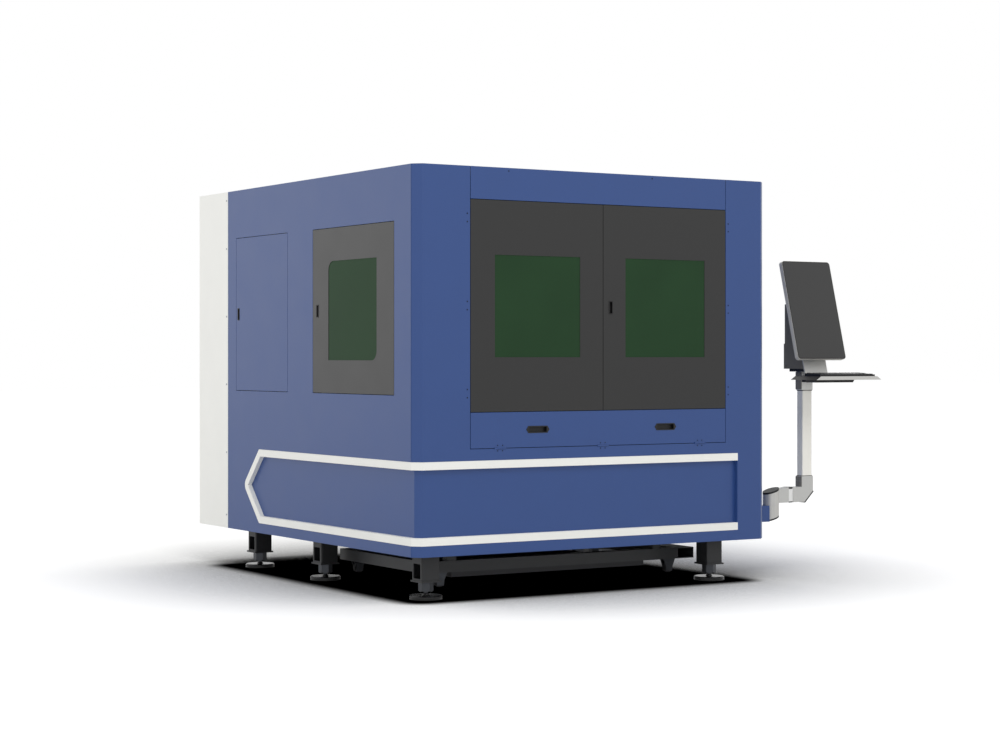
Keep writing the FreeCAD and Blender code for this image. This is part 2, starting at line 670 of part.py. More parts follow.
def rear_doors():
    """Two plain white leaves across the back; the pull is on the right one, seen from behind."""
    pull = (REAR_RIGHT.width - SIDE_PULL_INSET, REAR_RIGHT.height / 2)
    return {
        "rear_door_right": REAR_RIGHT.leaf(None, pull_hole(*pull)),
        "rear_door_left": REAR_LEFT.leaf(None, None),
        "rear_door_pull": REAR_RIGHT.put(flush_pull(*pull)),
    }


# ---- drop-down flap under the front doors -------------------------------------------------
FLAP_WIDTH = DOORWAY_RIGHT - DOORWAY_LEFT - 2 * GAP
FLAP_HINGES = (DOORWAY_LEFT + FLAP_HINGE_EDGE, (DOORWAY_LEFT + DOORWAY_RIGHT) / 2,
               DOORWAY_RIGHT - FLAP_HINGE_EDGE)


def flap_knuckle(middle, offset, radius, length):
    """One barrel on the seam under the flap, beside or at the middle of a hinge."""
    start = Vector(middle + offset - length / 2, 0, FLAP_BOTTOM)
    return rod(radius, length, start, Vector(1, 0, 0))


def front_flap():
    """A folded pan that drops forward, with the middle barrel of each of its hinges."""
    bottom, top = FLAP_BOTTOM + GAP, DOOR_BOTTOM - GAP
    left, right = DOORWAY_LEFT + GAP, DOORWAY_LEFT + GAP + FLAP_WIDTH
    pan = block(left, right, 0, DOOR_DEPTH, bottom, top)
    pan = pan.cut(block(left + SHEET, right - SHEET, SHEET, DOOR_DEPTH + 1,
                        bottom + SHEET, top - SHEET))
    pan = pan.cut(block(left - 1, right + 1, FLAP_KNUCKLE_RADIUS, DOOR_DEPTH + 1,
                        bottom - 1, bottom + SHEET))
    middle_x, middle_z = (left + right) / 2, (bottom + top) / 2
    centres = (middle_x - FLAP_PULL_SPREAD / 2, middle_x + FLAP_PULL_SPREAD / 2)
    pulls = []
    for centre in centres:
        pulls.append(flap_pull(centre, middle_z))
        pan = pan.cut(pull_opening(centre, middle_z,
                                   FLAP_PULL_WIDTH - 2 * PULL_RIM + 2 * PULL_FIT,
                                   FLAP_PULL_HEIGHT - 2 * PULL_RIM + 2 * PULL_FIT, SHEET + 1))
    side = (FLAP_KNUCKLE_LENGTH * 2) + 2 * HINGE_PLAY
    for middle in FLAP_HINGES:
        for offset in (-side / 2, side / 2):
            pan = pan.cut(flap_knuckle(middle, offset, FLAP_KNUCKLE_RADIUS + HINGE_PLAY,
                                       FLAP_KNUCKLE_LENGTH + 2 * HINGE_PLAY))
        pan = pan.fuse(flap_knuckle(middle, 0, FLAP_KNUCKLE_RADIUS, FLAP_KNUCKLE_LENGTH))
        pan = pan.cut(flap_knuckle(middle, 0, FLAP_PIN_RADIUS + HINGE_FIT,
                                   FLAP_KNUCKLE_LENGTH))
    return {"front_flap": pan, "flap_pulls": Part.makeCompound(pulls)}


def flap_sill_hinges(panel):
    """The fixed barrels and pins of the flap's hinges, joined to the sill below it."""
    side = (FLAP_KNUCKLE_LENGTH * 2) + 2 * HINGE_PLAY
    for middle in FLAP_HINGES:
        panel = panel.cut(flap_knuckle(middle, 0, FLAP_KNUCKLE_RADIUS + HINGE_PLAY,
                                       FLAP_KNUCKLE_LENGTH + 2 * HINGE_PLAY))
        barrels = [flap_knuckle(middle, offset, FLAP_KNUCKLE_RADIUS, FLAP_KNUCKLE_LENGTH)
                   for offset in (-side / 2, side / 2)]
        pin = flap_knuckle(middle, 0, FLAP_PIN_RADIUS, side + FLAP_KNUCKLE_LENGTH)
        panel = fuse([panel, pin] + barrels)
    return panel


# ---- cabin sheets -------------------------------------------------------------------------------
FACET_SHIFT = math.sqrt(2) - 1


def skin_line(depth, right, back):
    """The skin at a depth behind its outer face, from the front round the left corner."""
    turn = CORNER_FACET + FACET_SHIFT * depth
    return [(right, depth), (turn, depth), (depth, turn), (depth, back)]


def skin_strip(near, far, right, bottom, top):
    """A band of skin between two depths, round the front left corner."""
    outline = skin_line(near, right, CABIN_DEPTH) + skin_line(far, right, CABIN_DEPTH)[::-1]
    return prism([(x, y, bottom) for x, y in outline], Vector(0, 0, top - bottom))


def arrow_prism(inset, right, tip_radius):
    """The band's outline on the left side, drawn in by an inset and swept across to the right."""
    half = (BAND_TOP - BAND_BOTTOM) / 2
    lean = math.atan2(half, ARROW_LENGTH)
    tip = ARROW_TIP - inset / math.sin(lean)
    shoulder = tip - (half - inset) / math.tan(lean)
    start = -RECESS_DEPTH
    outline = [(start, BAND_TOP - inset), (shoulder, BAND_TOP - inset), (tip, BAND_MIDDLE),
               (shoulder, BAND_BOTTOM + inset), (start, BAND_BOTTOM + inset)]
    swept = prism([(start, y, z) for y, z in outline], Vector(right - start, 0, 0))
    if not tip_radius:
        return swept
    point = [edge for edge in swept.Edges
             if edge.BoundBox.XLength > RECESS_DEPTH and edge.BoundBox.YMin > shoulder + 1]
    return swept.makeFillet(tip_radius, point)


def trim_band():
    """The white folded channel that frames the recess and ends in an arrow."""
    outer = skin_strip(-FACE_OFFSET, RECESS_DEPTH, BAND_RIGHT, BAND_BOTTOM, BAND_TOP)
    outer = outer.common(arrow_prism(0, BAND_RIGHT + 1, ARROW_TIP_RADIUS))
    outer = outer.cut(arrow_prism(BAND_WIDTH, BAND_RIGHT + 1, 0))
    hollow = skin_strip(SHEET - FACE_OFFSET, RECESS_DEPTH + 1, BAND_RIGHT + 1,
                        BAND_BOTTOM, BAND_TOP)
    hollow = hollow.common(arrow_prism(SHEET, BAND_RIGHT + 2, ARROW_TIP_RADIUS - SHEET))
    hollow = hollow.cut(arrow_prism(BAND_WIDTH - SHEET, BAND_RIGHT + 2, 0))
    return outer.cut(hollow)


def recess_panel():
    """The blue sheet set back between the arms of the band, with its end wall folded forward."""
    sheet = skin_strip(RECESS_DEPTH, POST_INSET, BAND_RIGHT, BAND_BOTTOM, BAND_TOP)
    sheet = sheet.common(arrow_prism(SHEET, BAND_RIGHT + 1, 0))
    wall = block(BAND_RIGHT - SHEET, BAND_RIGHT, 0, RECESS_DEPTH,
                 BAND_BOTTOM + BAND_WIDTH, BAND_TOP - BAND_WIDTH)
    return fuse([sheet, wall])


def band_opening():
    """What the cabin's skin leaves out for the band and its recess."""
    return arrow_prism(-BAND_GAP, BAND_RIGHT + BAND_GAP, ARROW_TIP_RADIUS + BAND_GAP)


def front_panel():
    """The blue sheet round the doorway, folded at 45 degrees at both corners."""
    def line(depth):
        turn, end = CORNER_FACET + FACET_SHIFT * depth, depth * math.sqrt(2)
        return [(end, CORNER_FACET), (turn, depth), (CABIN_WIDTH - turn, depth),
                (CABIN_WIDTH - end, CORNER_FACET)]

    outline = line(0) + line(SHEET)[::-1]
    sheet = prism([(x, y, CABIN_BOTTOM) for x, y in outline],
                  Vector(0, 0, CABIN_TOP - CABIN_BOTTOM))
    for depth, radius in ((0, BEND_RADIUS), (SHEET, BEND_RADIUS - SHEET)):
        turn = CORNER_FACET + FACET_SHIFT * depth
        bends = upright_edges(sheet, lambda middle: abs(middle.y - depth) < 1e-3
                              and min(abs(middle.x - turn),
                                      abs(middle.x - CABIN_WIDTH + turn)) < 1e-3)
        sheet = sheet.makeFillet(radius, bends)
    left, right = DOORWAY_LEFT - GAP, DOORWAY_RIGHT + GAP
    sill = FLAP_BOTTOM - GAP
    sheet = cut(sheet, [block(left, right, -1, SHEET + 1, sill, CABIN_TOP + 1), band_opening()])
    jamb_top = ROOF_UNDERSIDE - POST
    folds = [block(left - SHEET, left, 0, JAMB_RETURN, sill - SHEET, jamb_top),
             block(right, right + SHEET, 0, JAMB_RETURN, sill - SHEET, jamb_top),
             block(left - SHEET, right + SHEET, 0, JAMB_RETURN, sill - SHEET, sill),
             block(CORNER_FACET + SHEET, CABIN_WIDTH - CORNER_FACET - SHEET, 0, EDGE_RETURN,
                   CABIN_BOTTOM, CABIN_BOTTOM + SHEET)]
    return flap_sill_hinges(fuse([sheet] + folds))


def header_panel():
    """The blue sheet over the front doors."""
    left, right = DOORWAY_LEFT + GAP, DOORWAY_RIGHT - GAP
    bottom = DOOR_TOP + GAP
    return fuse([block(left, right, 0, SHEET, bottom, CABIN_TOP),
                 block(left, right, 0, JAMB_RETURN, bottom, bottom + SHEET)])


def framed_opening(front, back, bottom, top):
    """A hole in a side sheet with its edge folded in, as the hole and the folds."""
    hole = block(-1, SHEET + 1, front - GAP, back + GAP, bottom - GAP, top + GAP)
    folds = block(0, JAMB_RETURN, front - GAP - SHEET, back + GAP + SHEET,
                  bottom - GAP - SHEET, top + GAP + SHEET)
    clear = block(-1, JAMB_RETURN + 1, front - GAP, back + GAP, bottom - GAP, top + GAP)
    return hole, folds.cut(clear)


def side_sheet():
    """A plain side of the cabin with its front, back and bottom edges folded in."""
    front, back = CORNER_FACET + SEAM, CABIN_DEPTH - GAP
    return fuse([block(0, SHEET, front, back, CABIN_BOTTOM, CABIN_TOP),
                 block(0, EDGE_RETURN, front, back, CABIN_BOTTOM, CABIN_BOTTOM + SHEET)])


def left_panel():
    """The blue left side with the window door's and the service door's openings."""
    panel = side_sheet().cut(band_opening())
    for front, back in ((SIDE_DOOR_FRONT, SIDE_DOOR_BACK),
                        (SERVICE_DOOR_FRONT, SERVICE_DOOR_BACK)):
        hole, folds = framed_opening(front, back, SIDE_DOORS_BOTTOM, SIDE_DOORS_TOP)
        panel = fuse([panel.cut(hole), folds])
    return panel


def right_panel():
    """The blue right side, closed but for the exhaust hole."""
    panel = mirrored(side_sheet(), CABIN_WIDTH)
    hole = rod(EXHAUST_RADIUS, 2 * EDGE_RETURN,
               Vector(CABIN_WIDTH - EDGE_RETURN, EXHAUST_Y, EXHAUST_Z), Vector(1, 0, 0))
    return panel.cut(hole)


def exhaust_collar():
    """A rolled duct collar with a flange on the outer face of the right side."""
    start = Vector(CABIN_WIDTH - EDGE_RETURN, EXHAUST_Y, EXHAUST_Z)
    along = Vector(1, 0, 0)
    length = EDGE_RETURN + EXHAUST_LENGTH
    flange = rod(EXHAUST_RADIUS + EXHAUST_FLANGE, SHEET,
                 Vector(CABIN_WIDTH, EXHAUST_Y, EXHAUST_Z), along)
    collar = fuse([rod(EXHAUST_RADIUS, length, start, along), flange])
    return collar.cut(rod(EXHAUST_RADIUS - EXHAUST_WALL, length, start, along))


def roof_panel():
    """The flat roof sheet, held between the cabin's sides on the top rails."""
    return block(SHEET, CABIN_WIDTH - SHEET, CORNER_FACET + SEAM, CABIN_DEPTH,
                 ROOF_UNDERSIDE, CABIN_TOP)


def rear_bulkhead():
    """The sheet between the work chamber and the equipment cabinet."""
    return block(SHEET, CABIN_WIDTH - SHEET, CABIN_DEPTH - SHEET, CABIN_DEPTH,
                 CABIN_BOTTOM + SHEET, ROOF_UNDERSIDE)


def enclosure_frame():
    """Square tubes inside the cabin's skin, and the outriggers that join them to the legs."""
    wall = SHEET
    right, back = CABIN_WIDTH - SHEET, CABIN_DEPTH - SHEET
    facet_end = CORNER_FACET + BEND_RADIUS
    tubes = []
    for bottom, top in ((CABIN_BOTTOM + SHEET, FLOOR_RAIL_TOP),
                        (ROOF_UNDERSIDE - POST, ROOF_UNDERSIDE)):
        tubes.append(square_tube(facet_end, CABIN_WIDTH - facet_end, SHEET, POST_FRONT,
                                 bottom, top, wall, "x"))
        for x0, x1 in ((SHEET, SHEET + SIDE_RAIL), (right - SIDE_RAIL, right)):
            tubes.append(square_tube(x0, x1, POST_FRONT, back, bottom, top, wall, "y"))
        tubes.append(square_tube(SHEET + SIDE_RAIL, right - SIDE_RAIL, back - POST, back,
                                 bottom, top, wall, "x"))
    for x0 in (POST_INSET, right - POST):
        for y0 in (POST_FRONT, MIDDLE_POST_Y, back - POST):
            tubes.append(square_tube(x0, x0 + POST, y0, y0 + POST, FLOOR_RAIL_TOP,
                                     ROOF_UNDERSIDE - POST, wall, "z"))
    sill_top = FLAP_BOTTOM - 2 * FLAP_KNUCKLE_RADIUS
    tubes.append(square_tube(facet_end, CABIN_WIDTH - facet_end, SHEET, POST_FRONT,
                             sill_top - POST, sill_top, wall, "x"))
    for y in LEG_Y:
        for x0, x1 in ((SHEET + SIDE_RAIL, LEG_X[0] - LEG / 2),
                       (LEG_X[1] + LEG / 2, right - SIDE_RAIL)):
            tubes.append(square_tube(x0, x1, y - POST / 2, y + POST / 2,
                                     CABIN_BOTTOM + SHEET, FLOOR_RAIL_TOP, wall, "x"))
    return Part.makeCompound(tubes)


def rear_cabinet():
    """The white equipment cabinet: a folded shell with a doorway in its back."""
    front = CABIN_DEPTH + GAP
    shell = block(0, CABIN_WIDTH, front, CABINET_BACK, CABIN_BOTTOM, CABIN_TOP)
    shell = shell.cut(block(SHEET, CABIN_WIDTH - SHEET, front - 1, CABINET_BACK - SHEET,
                            CABIN_BOTTOM + SHEET, ROOF_UNDERSIDE))
    left, right = REAR_DOORWAY_INSET - GAP, CABIN_WIDTH - REAR_DOORWAY_INSET + GAP
    bottom, top = REAR_DOORWAY_BOTTOM - GAP, REAR_DOORWAY_TOP + GAP
    inside = CABINET_BACK - JAMB_RETURN
    folds = block(left - SHEET, right + SHEET, inside, CABINET_BACK, bottom - SHEET, top + SHEET)
    doorway = block(left, right, inside - 1, CABINET_BACK + 1, bottom, top)
    return fuse([shell, folds]).cut(doorway)


def hinge_brackets():
    """The fixed halves of all the concealed hinges, three to a door."""
    pieces = []
    for door in (FRONT_LEFT, FRONT_RIGHT, SIDE, SERVICE, REAR_LEFT, REAR_RIGHT):
        pieces += door.brackets()
    return Part.makeCompound(pieces)


# ---- bed, legs and feet -------------------------------------------------------------------------
def leg(x, y, outward):
    """A square tube leg with a spanner window at its foot and a plate welded below."""
    half = LEG / 2
    tube = block(x - half, x + half, y - half, y + half, LEG_BOTTOM, SIDE_BEAM_BOTTOM)
    tube = tube.makeFillet(LEG_CORNER, upright_edges(tube, lambda middle: True))
    inner = half - LEG_WALL
    tube = tube.cut(block(x - inner, x + inner, y - inner, y + inner,
                          LEG_BOTTOM, SIDE_BEAM_BOTTOM))
    reach = sorted((x, x + outward * LEG))
    sill = LEG_BOTTOM + LEG_WINDOW_RISE
    tube = tube.cut(block(reach[0], reach[1], y - LEG_WINDOW_WIDTH / 2,
                          y + LEG_WINDOW_WIDTH / 2, sill, sill + LEG_WINDOW_HEIGHT))
    half = LEG_PLATE / 2
    plate = block(x - half, x + half, y - half, y + half, NUT_TOP, LEG_BOTTOM)
    hole = rod(STUD_RADIUS + STUD_FIT, LEG_PLATE_THICKNESS, Vector(x, y, NUT_TOP),
               Vector(0, 0, 1))
    return fuse([tube, plate.cut(hole)])


def bed_frame():
    """The welded bed: six legs, two long beams for the rails, cross beams and low ties."""
    half = LEG / 2
    tubes = [leg(x, y, outward) for x, outward in zip(LEG_X, (-1, 1)) for y in LEG_Y]
    front, back = LEG_Y[0] - half, LEG_Y[-1] + half
    for x in LEG_X:
        tubes.append(square_tube(x - half, x + half, front, back, SIDE_BEAM_BOTTOM, BED_TOP,
                                 LEG_WALL, "y"))
        for near, far in zip(LEG_Y, LEG_Y[1:]):
            tubes.append(square_tube(x - TIE_HEIGHT / 2, x + TIE_HEIGHT / 2, near + half,
                                     far - half, TIE_BOTTOM, TIE_BOTTOM + TIE_HEIGHT,
                                     LEG_WALL / 2, "y"))
    ring_front = RING_FRONT + RING_TUBE / 2
    for y in (LEG_Y[0], ring_front, LEG_Y[1], LEG_Y[2]):
        tubes.append(square_tube(LEG_X[0] + half, LEG_X[1] - half, y - CROSS_BEAM / 2,
                                 y + CROSS_BEAM / 2, SIDE_BEAM_BOTTOM, CROSS_TOP,
                                 LEG_WALL / 2, "x"))
    return Part.makeCompound(tubes)


def feet():
    """Six levelling feet: pad, threaded stud and the long hexagon nut under each leg."""
    pads, studs, nuts = [], [], []
    up = Vector(0, 0, 1)
    groove = (PAD_RIM, PAD_RIM + PAD_GROOVE)
    hub_top = PAD_HEIGHT + PAD_HUB_HEIGHT
    profile = [(0, 0), (PAD_RADIUS, 0), (PAD_RADIUS, groove[0]),
               (PAD_RADIUS - PAD_GROOVE, groove[0]), (PAD_RADIUS - PAD_GROOVE, groove[1]),
               (PAD_RADIUS, groove[1]), (PAD_RADIUS, PAD_HEIGHT - PAD_RIM),
               (PAD_RADIUS - PAD_RIM, PAD_HEIGHT), (PAD_HUB_RADIUS, PAD_HEIGHT),
               (PAD_HUB_RADIUS - PAD_GROOVE, hub_top), (STUD_RADIUS, hub_top),
               (STUD_RADIUS, PAD_HEIGHT / 2), (0, PAD_HEIGHT / 2)]
    corners = [Vector(radius, 0, z) for radius, z in profile]
    pad = Part.Face(Part.makePolygon(corners + [corners[0]])).revolve(Vector(0, 0, 0), up, 360)
    stud = rod(STUD_RADIUS, LEG_BOTTOM + STUD_RISE - PAD_HEIGHT / 2,
               Vector(0, 0, PAD_HEIGHT / 2), up)
    circle = NUT_ACROSS_FLATS / 2 / math.cos(math.radians(30))
    foot = Vector(0, 0, NUT_TOP - NUT_HEIGHT)
    hexagon = [(circle * math.sin(math.radians(60 * step)),
                circle * math.cos(math.radians(60 * step)), foot.z) for step in range(6)]
    bevel = Part.makeCone(circle - NUT_CHAMFER, circle - NUT_CHAMFER + NUT_HEIGHT, NUT_HEIGHT,
                          foot, up)
    nut = prism(hexagon, Vector(0, 0, NUT_HEIGHT)).common(bevel)
    nut = nut.cut(rod(STUD_RADIUS + STUD_FIT, NUT_HEIGHT, foot, up))
    for x in LEG_X:
        for y in LEG_Y:
            spot = Vector(x, y, 0)
            pads.append(pad.translated(spot))
            studs.append(stud.translated(spot))
            nuts.append(nut.translated(spot))
    return {"foot_pads": Part.makeCompound(pads), "foot_studs": Part.makeCompound(studs),
            "foot_nuts": Part.makeCompound(nuts)}


def transport_frame():
    """A ring of tubes hung under the bed and welded to a leg, which carries the castors."""
    wall = LEG_WALL / 2
    behind = RING_BACK - RING_TUBE
    leg_left, leg_front = LEG_X[1] - LEG / 2, LEG_Y[1] - LEG / 2
    tubes = []
    for right, y0 in ((RING_RIGHT, RING_FRONT), (leg_left, behind)):
        tube = square_tube(RING_LEFT + wall, right, y0, y0 + RING_TUBE, RING_BOTTOM, RING_TOP,
                           wall, "x")
        end_plate = block(RING_LEFT, RING_LEFT + wall, y0, y0 + RING_TUBE, RING_BOTTOM, RING_TOP)
        tubes.append(fuse([tube, end_plate]))
    tubes.append(square_tube(RING_LEFT, RING_LEFT + RING_TUBE, RING_FRONT + RING_TUBE, behind,
                             RING_BOTTOM, RING_TOP, wall, "y"))
    tubes.append(square_tube(RING_RIGHT, RING_RIGHT + RING_END_TUBE, RING_FRONT, leg_front,
                             RING_BOTTOM, RING_TOP, wall, "y"))
    half = HANGER / 2
    for x in (RING_LEFT + RING_TUBE + HANGER_INSET, leg_left - HANGER_INSET - RING_TUBE):
        for y in (RING_FRONT + RING_TUBE / 2, RING_BACK - RING_TUBE / 2):
            tubes.append(square_tube(x - half, x + half, y - half, y + half, RING_TOP,
                                     SIDE_BEAM_BOTTOM, wall, "z"))
    return Part.makeCompound(tubes)


def castor_spots():
    """Where the four castors stand, by name."""
    spots = {}
    for front_or_rear, y in (("front", RING_FRONT + RING_TUBE / 2),
                             ("rear", RING_BACK - RING_TUBE / 2)):
        spots[front_or_rear + "_left"] = (RING_LEFT + CASTOR_INSET, y)
        spots[front_or_rear + "_right"] = (RING_RIGHT - CASTOR_RIGHT_INSET, y)
    return spots


def castors():
    """Fixed transport castors, clear of the floor while the machine stands on its feet."""
    forks, parts = [], {}
    for name, (x, y) in castor_spots().items():
        gap = WHEEL_WIDTH / 2 + FORK_GAP
        top, bottom = CASTOR_TOP_WIDTH / 2, CASTOR_BOTTOM_WIDTH / 2
        low = CASTOR_AXLE_Z - bottom
        cheeks = []
        for y0 in (y - gap - FORK_PLATE, y + gap):
            cheek = prism([(x - top, y0, RING_BOTTOM), (x - bottom, y0, CASTOR_AXLE_Z),
                           (x - bottom, y0, low), (x + bottom, y0, low),
                           (x + bottom, y0, CASTOR_AXLE_Z), (x + top, y0, RING_BOTTOM)],
                          Vector(0, FORK_PLATE, 0))
            cheeks.append(cheek)
        crown = block(x - top, x + top, y - gap - FORK_PLATE, y + gap + FORK_PLATE,
                      RING_BOTTOM - FORK_PLATE, RING_BOTTOM)
        axle = rod(CASTOR_AXLE_RADIUS, 2 * (gap + FORK_PLATE),
                   Vector(x, y - gap - FORK_PLATE, CASTOR_AXLE_Z), Vector(0, 1, 0))
        forks.append(fuse([crown, axle] + cheeks))
        wheel = rod(WHEEL_RADIUS, WHEEL_WIDTH, Vector(x, y - WHEEL_WIDTH / 2, CASTOR_AXLE_Z),
                    Vector(0, 1, 0))
        wheel = wheel.makeChamfer(FORK_GAP * 2, wheel.Edges)
        bore = rod(CASTOR_AXLE_RADIUS + WHEEL_FIT, WHEEL_WIDTH,
                   Vector(x, y - WHEEL_WIDTH / 2, CASTOR_AXLE_Z), Vector(0, 1, 0))
        parts["castor_wheel_" + name] = wheel.cut(bore)
    parts["castor_forks"] = Part.makeCompound(forks)
    return parts


def scrap_tray():
    """The shallow folded tray fixed under the transport frame."""
    top = RING_BOTTOM
    left, right = RING_LEFT + TRAY_LEFT_INSET, RING_RIGHT - TRAY_RIGHT_INSET
    back = RING_BACK - TRAY_BACK_INSET
    tray = block(left, right, RING_FRONT, back, top - TRAY_DEPTH, top)
    return tray.cut(block(left + SHEET, right - SHEET, RING_FRONT + SHEET, back - SHEET,
                          top - TRAY_DEPTH + SHEET, top + 1))


# ---- slatted table ------------------------------------------------------------------------------
def slat_places():
    """The front face of each slat, evenly spaced between the table's front and back tubes."""
    first = TABLE_FRONT + TABLE_TUBE
    step = (TABLE_BACK - TABLE_FRONT - 2 * TABLE_TUBE - SLAT_THICKNESS) / (SLAT_COUNT - 1)
    return [first + number * step for number in range(SLAT_COUNT)]


def table_frame():
    """Perimeter tubes on the bed's cross beams, with slotted bars that hold the slats."""
    wall = LEG_WALL / 2
    left, right = TABLE_LEFT + TABLE_TUBE, TABLE_RIGHT - TABLE_TUBE
    pieces = [square_tube(x0, x0 + TABLE_TUBE, TABLE_FRONT, TABLE_BACK, CROSS_TOP, SLAT_BOTTOM,
                          wall, "y") for x0 in (TABLE_LEFT, right)]
    pieces += [square_tube(left, right, y0, y0 + TABLE_TUBE, CROSS_TOP, SLAT_BOTTOM, wall, "x")
               for y0 in (TABLE_FRONT, TABLE_BACK - TABLE_TUBE)]
    for x0 in (TABLE_LEFT + SLAT_SEAT, TABLE_RIGHT - SLAT_SEAT - LEG_WALL):
        comb = block(x0, x0 + LEG_WALL, TABLE_FRONT, TABLE_BACK, SLAT_BOTTOM,
                     SLAT_BOTTOM + TABLE_TUBE)
        slots = [block(x0 - 1, x0 + LEG_WALL + 1, y - SLAT_FIT, y + SLAT_THICKNESS + SLAT_FIT,
                       SLAT_BOTTOM, SLAT_BOTTOM + TABLE_TUBE + 1) for y in slat_places()]
        pieces.append(cut(comb, [Part.makeCompound(slots)]))
    return Part.makeCompound(pieces)


def slats():
    """Laser-cut support strips with a saw-tooth upper edge."""
    left, right = TABLE_LEFT + SLAT_FIT, TABLE_RIGHT - SLAT_FIT
    pitch = (right - left) / SLAT_TEETH
    valley = SLAT_TOP - SLAT_TOOTH_HEIGHT
    outline = [(left, SLAT_BOTTOM), (right, SLAT_BOTTOM), (right, valley)]
    for tooth in reversed(range(SLAT_TEETH)):
        outline.append((left + (tooth + 0.5) * pitch, SLAT_TOP))
        outline.append((left + tooth * pitch, valley))
    slat = prism([(x, 0, z) for x, z in outline], Vector(0, SLAT_THICKNESS, 0))
    return Part.makeCompound([slat.translated(Vector(0, y, 0)) for y in slat_places()])


# ---- gantry ---------------------------------------------------------------------------------------
def rack_start(x, inward):
    """The inner face of a rack beside its rail."""
    return x + inward * (BLOCK_WIDTH / 2 + MOTOR_GAP)


def bed_rails():
    """Two linear rails along the tops of the bed's long beams, each with a rack inside it."""
    half = RAIL_WIDTH / 2
    bars = [block(x - half, x + half, RAIL_FRONT, RAIL_BACK, BED_TOP, BED_TOP + RAIL_HEIGHT)
            for x in LEG_X]
    for x, inward in zip(LEG_X, (1, -1)):
        near = rack_start(x, inward)
        low, high = sorted((near, near + inward * RACK_WIDTH))
        bars.append(block(low, high, RAIL_FRONT, RAIL_BACK, BED_TOP, BED_TOP + RACK_HEIGHT))
    return Part.makeCompound(bars)


def gantry_beam():
    """A box beam across the bed on two towers, each on a pair of rail blocks."""
    half = TOWER_WIDTH / 2
    front, back = GANTRY_Y - BEAM_DEPTH / 2, GANTRY_Y + BEAM_DEPTH / 2
    pieces = [square_tube(LEG_X[0] - half, LEG_X[1] + half, front, back, BEAM_BOTTOM,
                          BEAM_BOTTOM + BEAM_HEIGHT, BEAM_WALL, "x")]
    for x in LEG_X:
        start = GANTRY_Y - TOWER_LENGTH / 2
        pieces.append(prism([(x - half, start, BLOCK_TOP),
                             (x - half, start + TOWER_LENGTH, BLOCK_TOP),
                             (x - half, back, BEAM_BOTTOM), (x - half, front, BEAM_BOTTOM)],
                            Vector(TOWER_WIDTH, 0, 0)))
    return fuse(pieces)


def gantry_blocks():
    """The four carriages that run on the bed's rails under the towers."""
    blocks = []
    half = BLOCK_WIDTH / 2
    slot = RAIL_WIDTH / 2 + SLIDE_FIT
    for x in LEG_X:
        for y in (GANTRY_Y - TOWER_LENGTH / 2, GANTRY_Y + TOWER_LENGTH / 2 - BLOCK_LENGTH):
            body = block(x - half, x + half, y, y + BLOCK_LENGTH, BED_TOP + BLOCK_LIFT, BLOCK_TOP)
            blocks.append(body.cut(block(x - slot, x + slot, y - 1, y + BLOCK_LENGTH + 1,
                                         BED_TOP, BED_TOP + RAIL_HEIGHT + SLIDE_FIT)))
    return Part.makeCompound(blocks)


def pinion_axes():
    """The middle of each drive pinion, beside its rack."""
    return [near + inward * (RACK_WIDTH + PINION_RADIUS + PINION_FIT)
            for near, inward in ((rack_start(LEG_X[0], 1), 1), (rack_start(LEG_X[1], -1), -1))]


def gantry_motors():
    """A servo motor and gearbox on the inner face of each tower."""
    motors = []
    for axis, x, inward in zip(pinion_axes(), LEG_X, (1, -1)):
        tower = x + inward * TOWER_WIDTH / 2
        low, high = sorted((tower, axis + inward * MOTOR_SIDE / 2))
        y0 = GANTRY_Y - MOTOR_SIDE / 2
        body = block(low, high, y0, y0 + MOTOR_SIDE, BLOCK_TOP, BLOCK_TOP + MOTOR_LENGTH)
        shaft = rod(STUD_RADIUS, BLOCK_TOP - BED_TOP - RACK_HEIGHT,
                    Vector(axis, GANTRY_Y, BED_TOP + RACK_HEIGHT), Vector(0, 0, 1))
        pinion = rod(PINION_RADIUS, PINION_HEIGHT,
                     Vector(axis, GANTRY_Y, BED_TOP + RACK_HEIGHT - PINION_HEIGHT),
                     Vector(0, 0, 1))
        motors.append(fuse([body, shaft, pinion]))
    return Part.makeCompound(motors)


BEAM_FRONT = GANTRY_Y - BEAM_DEPTH / 2
BEAM_RAIL_Z = (BEAM_BOTTOM + BEAM_RAIL_EDGE, BEAM_BOTTOM + BEAM_HEIGHT - BEAM_RAIL_EDGE - BEAM_RAIL)
CARRIAGE_BACK = BEAM_FRONT - BEAM_RAIL - BLOCK_LIFT
SLIDE_RAIL_FRONT = CARRIAGE_BACK - CARRIAGE_PLATE - BEAM_RAIL / 2
SLIDE_BACK = SLIDE_RAIL_FRONT - SLIDE_FIT
HEAD_BACK = SLIDE_BACK - SLIDE_PLATE
HEAD_BOTTOM = NOZZLE_TIP_Z + NOZZLE_LENGTH


def gantry_rails():
    """Two linear rails on the front face of the beam."""
    return Part.makeCompound([block(LEG_X[0] + TOWER_WIDTH / 2, LEG_X[1] - TOWER_WIDTH / 2,
                                    BEAM_FRONT - BEAM_RAIL, BEAM_FRONT, z, z + BEAM_RAIL)
                              for z in BEAM_RAIL_Z])


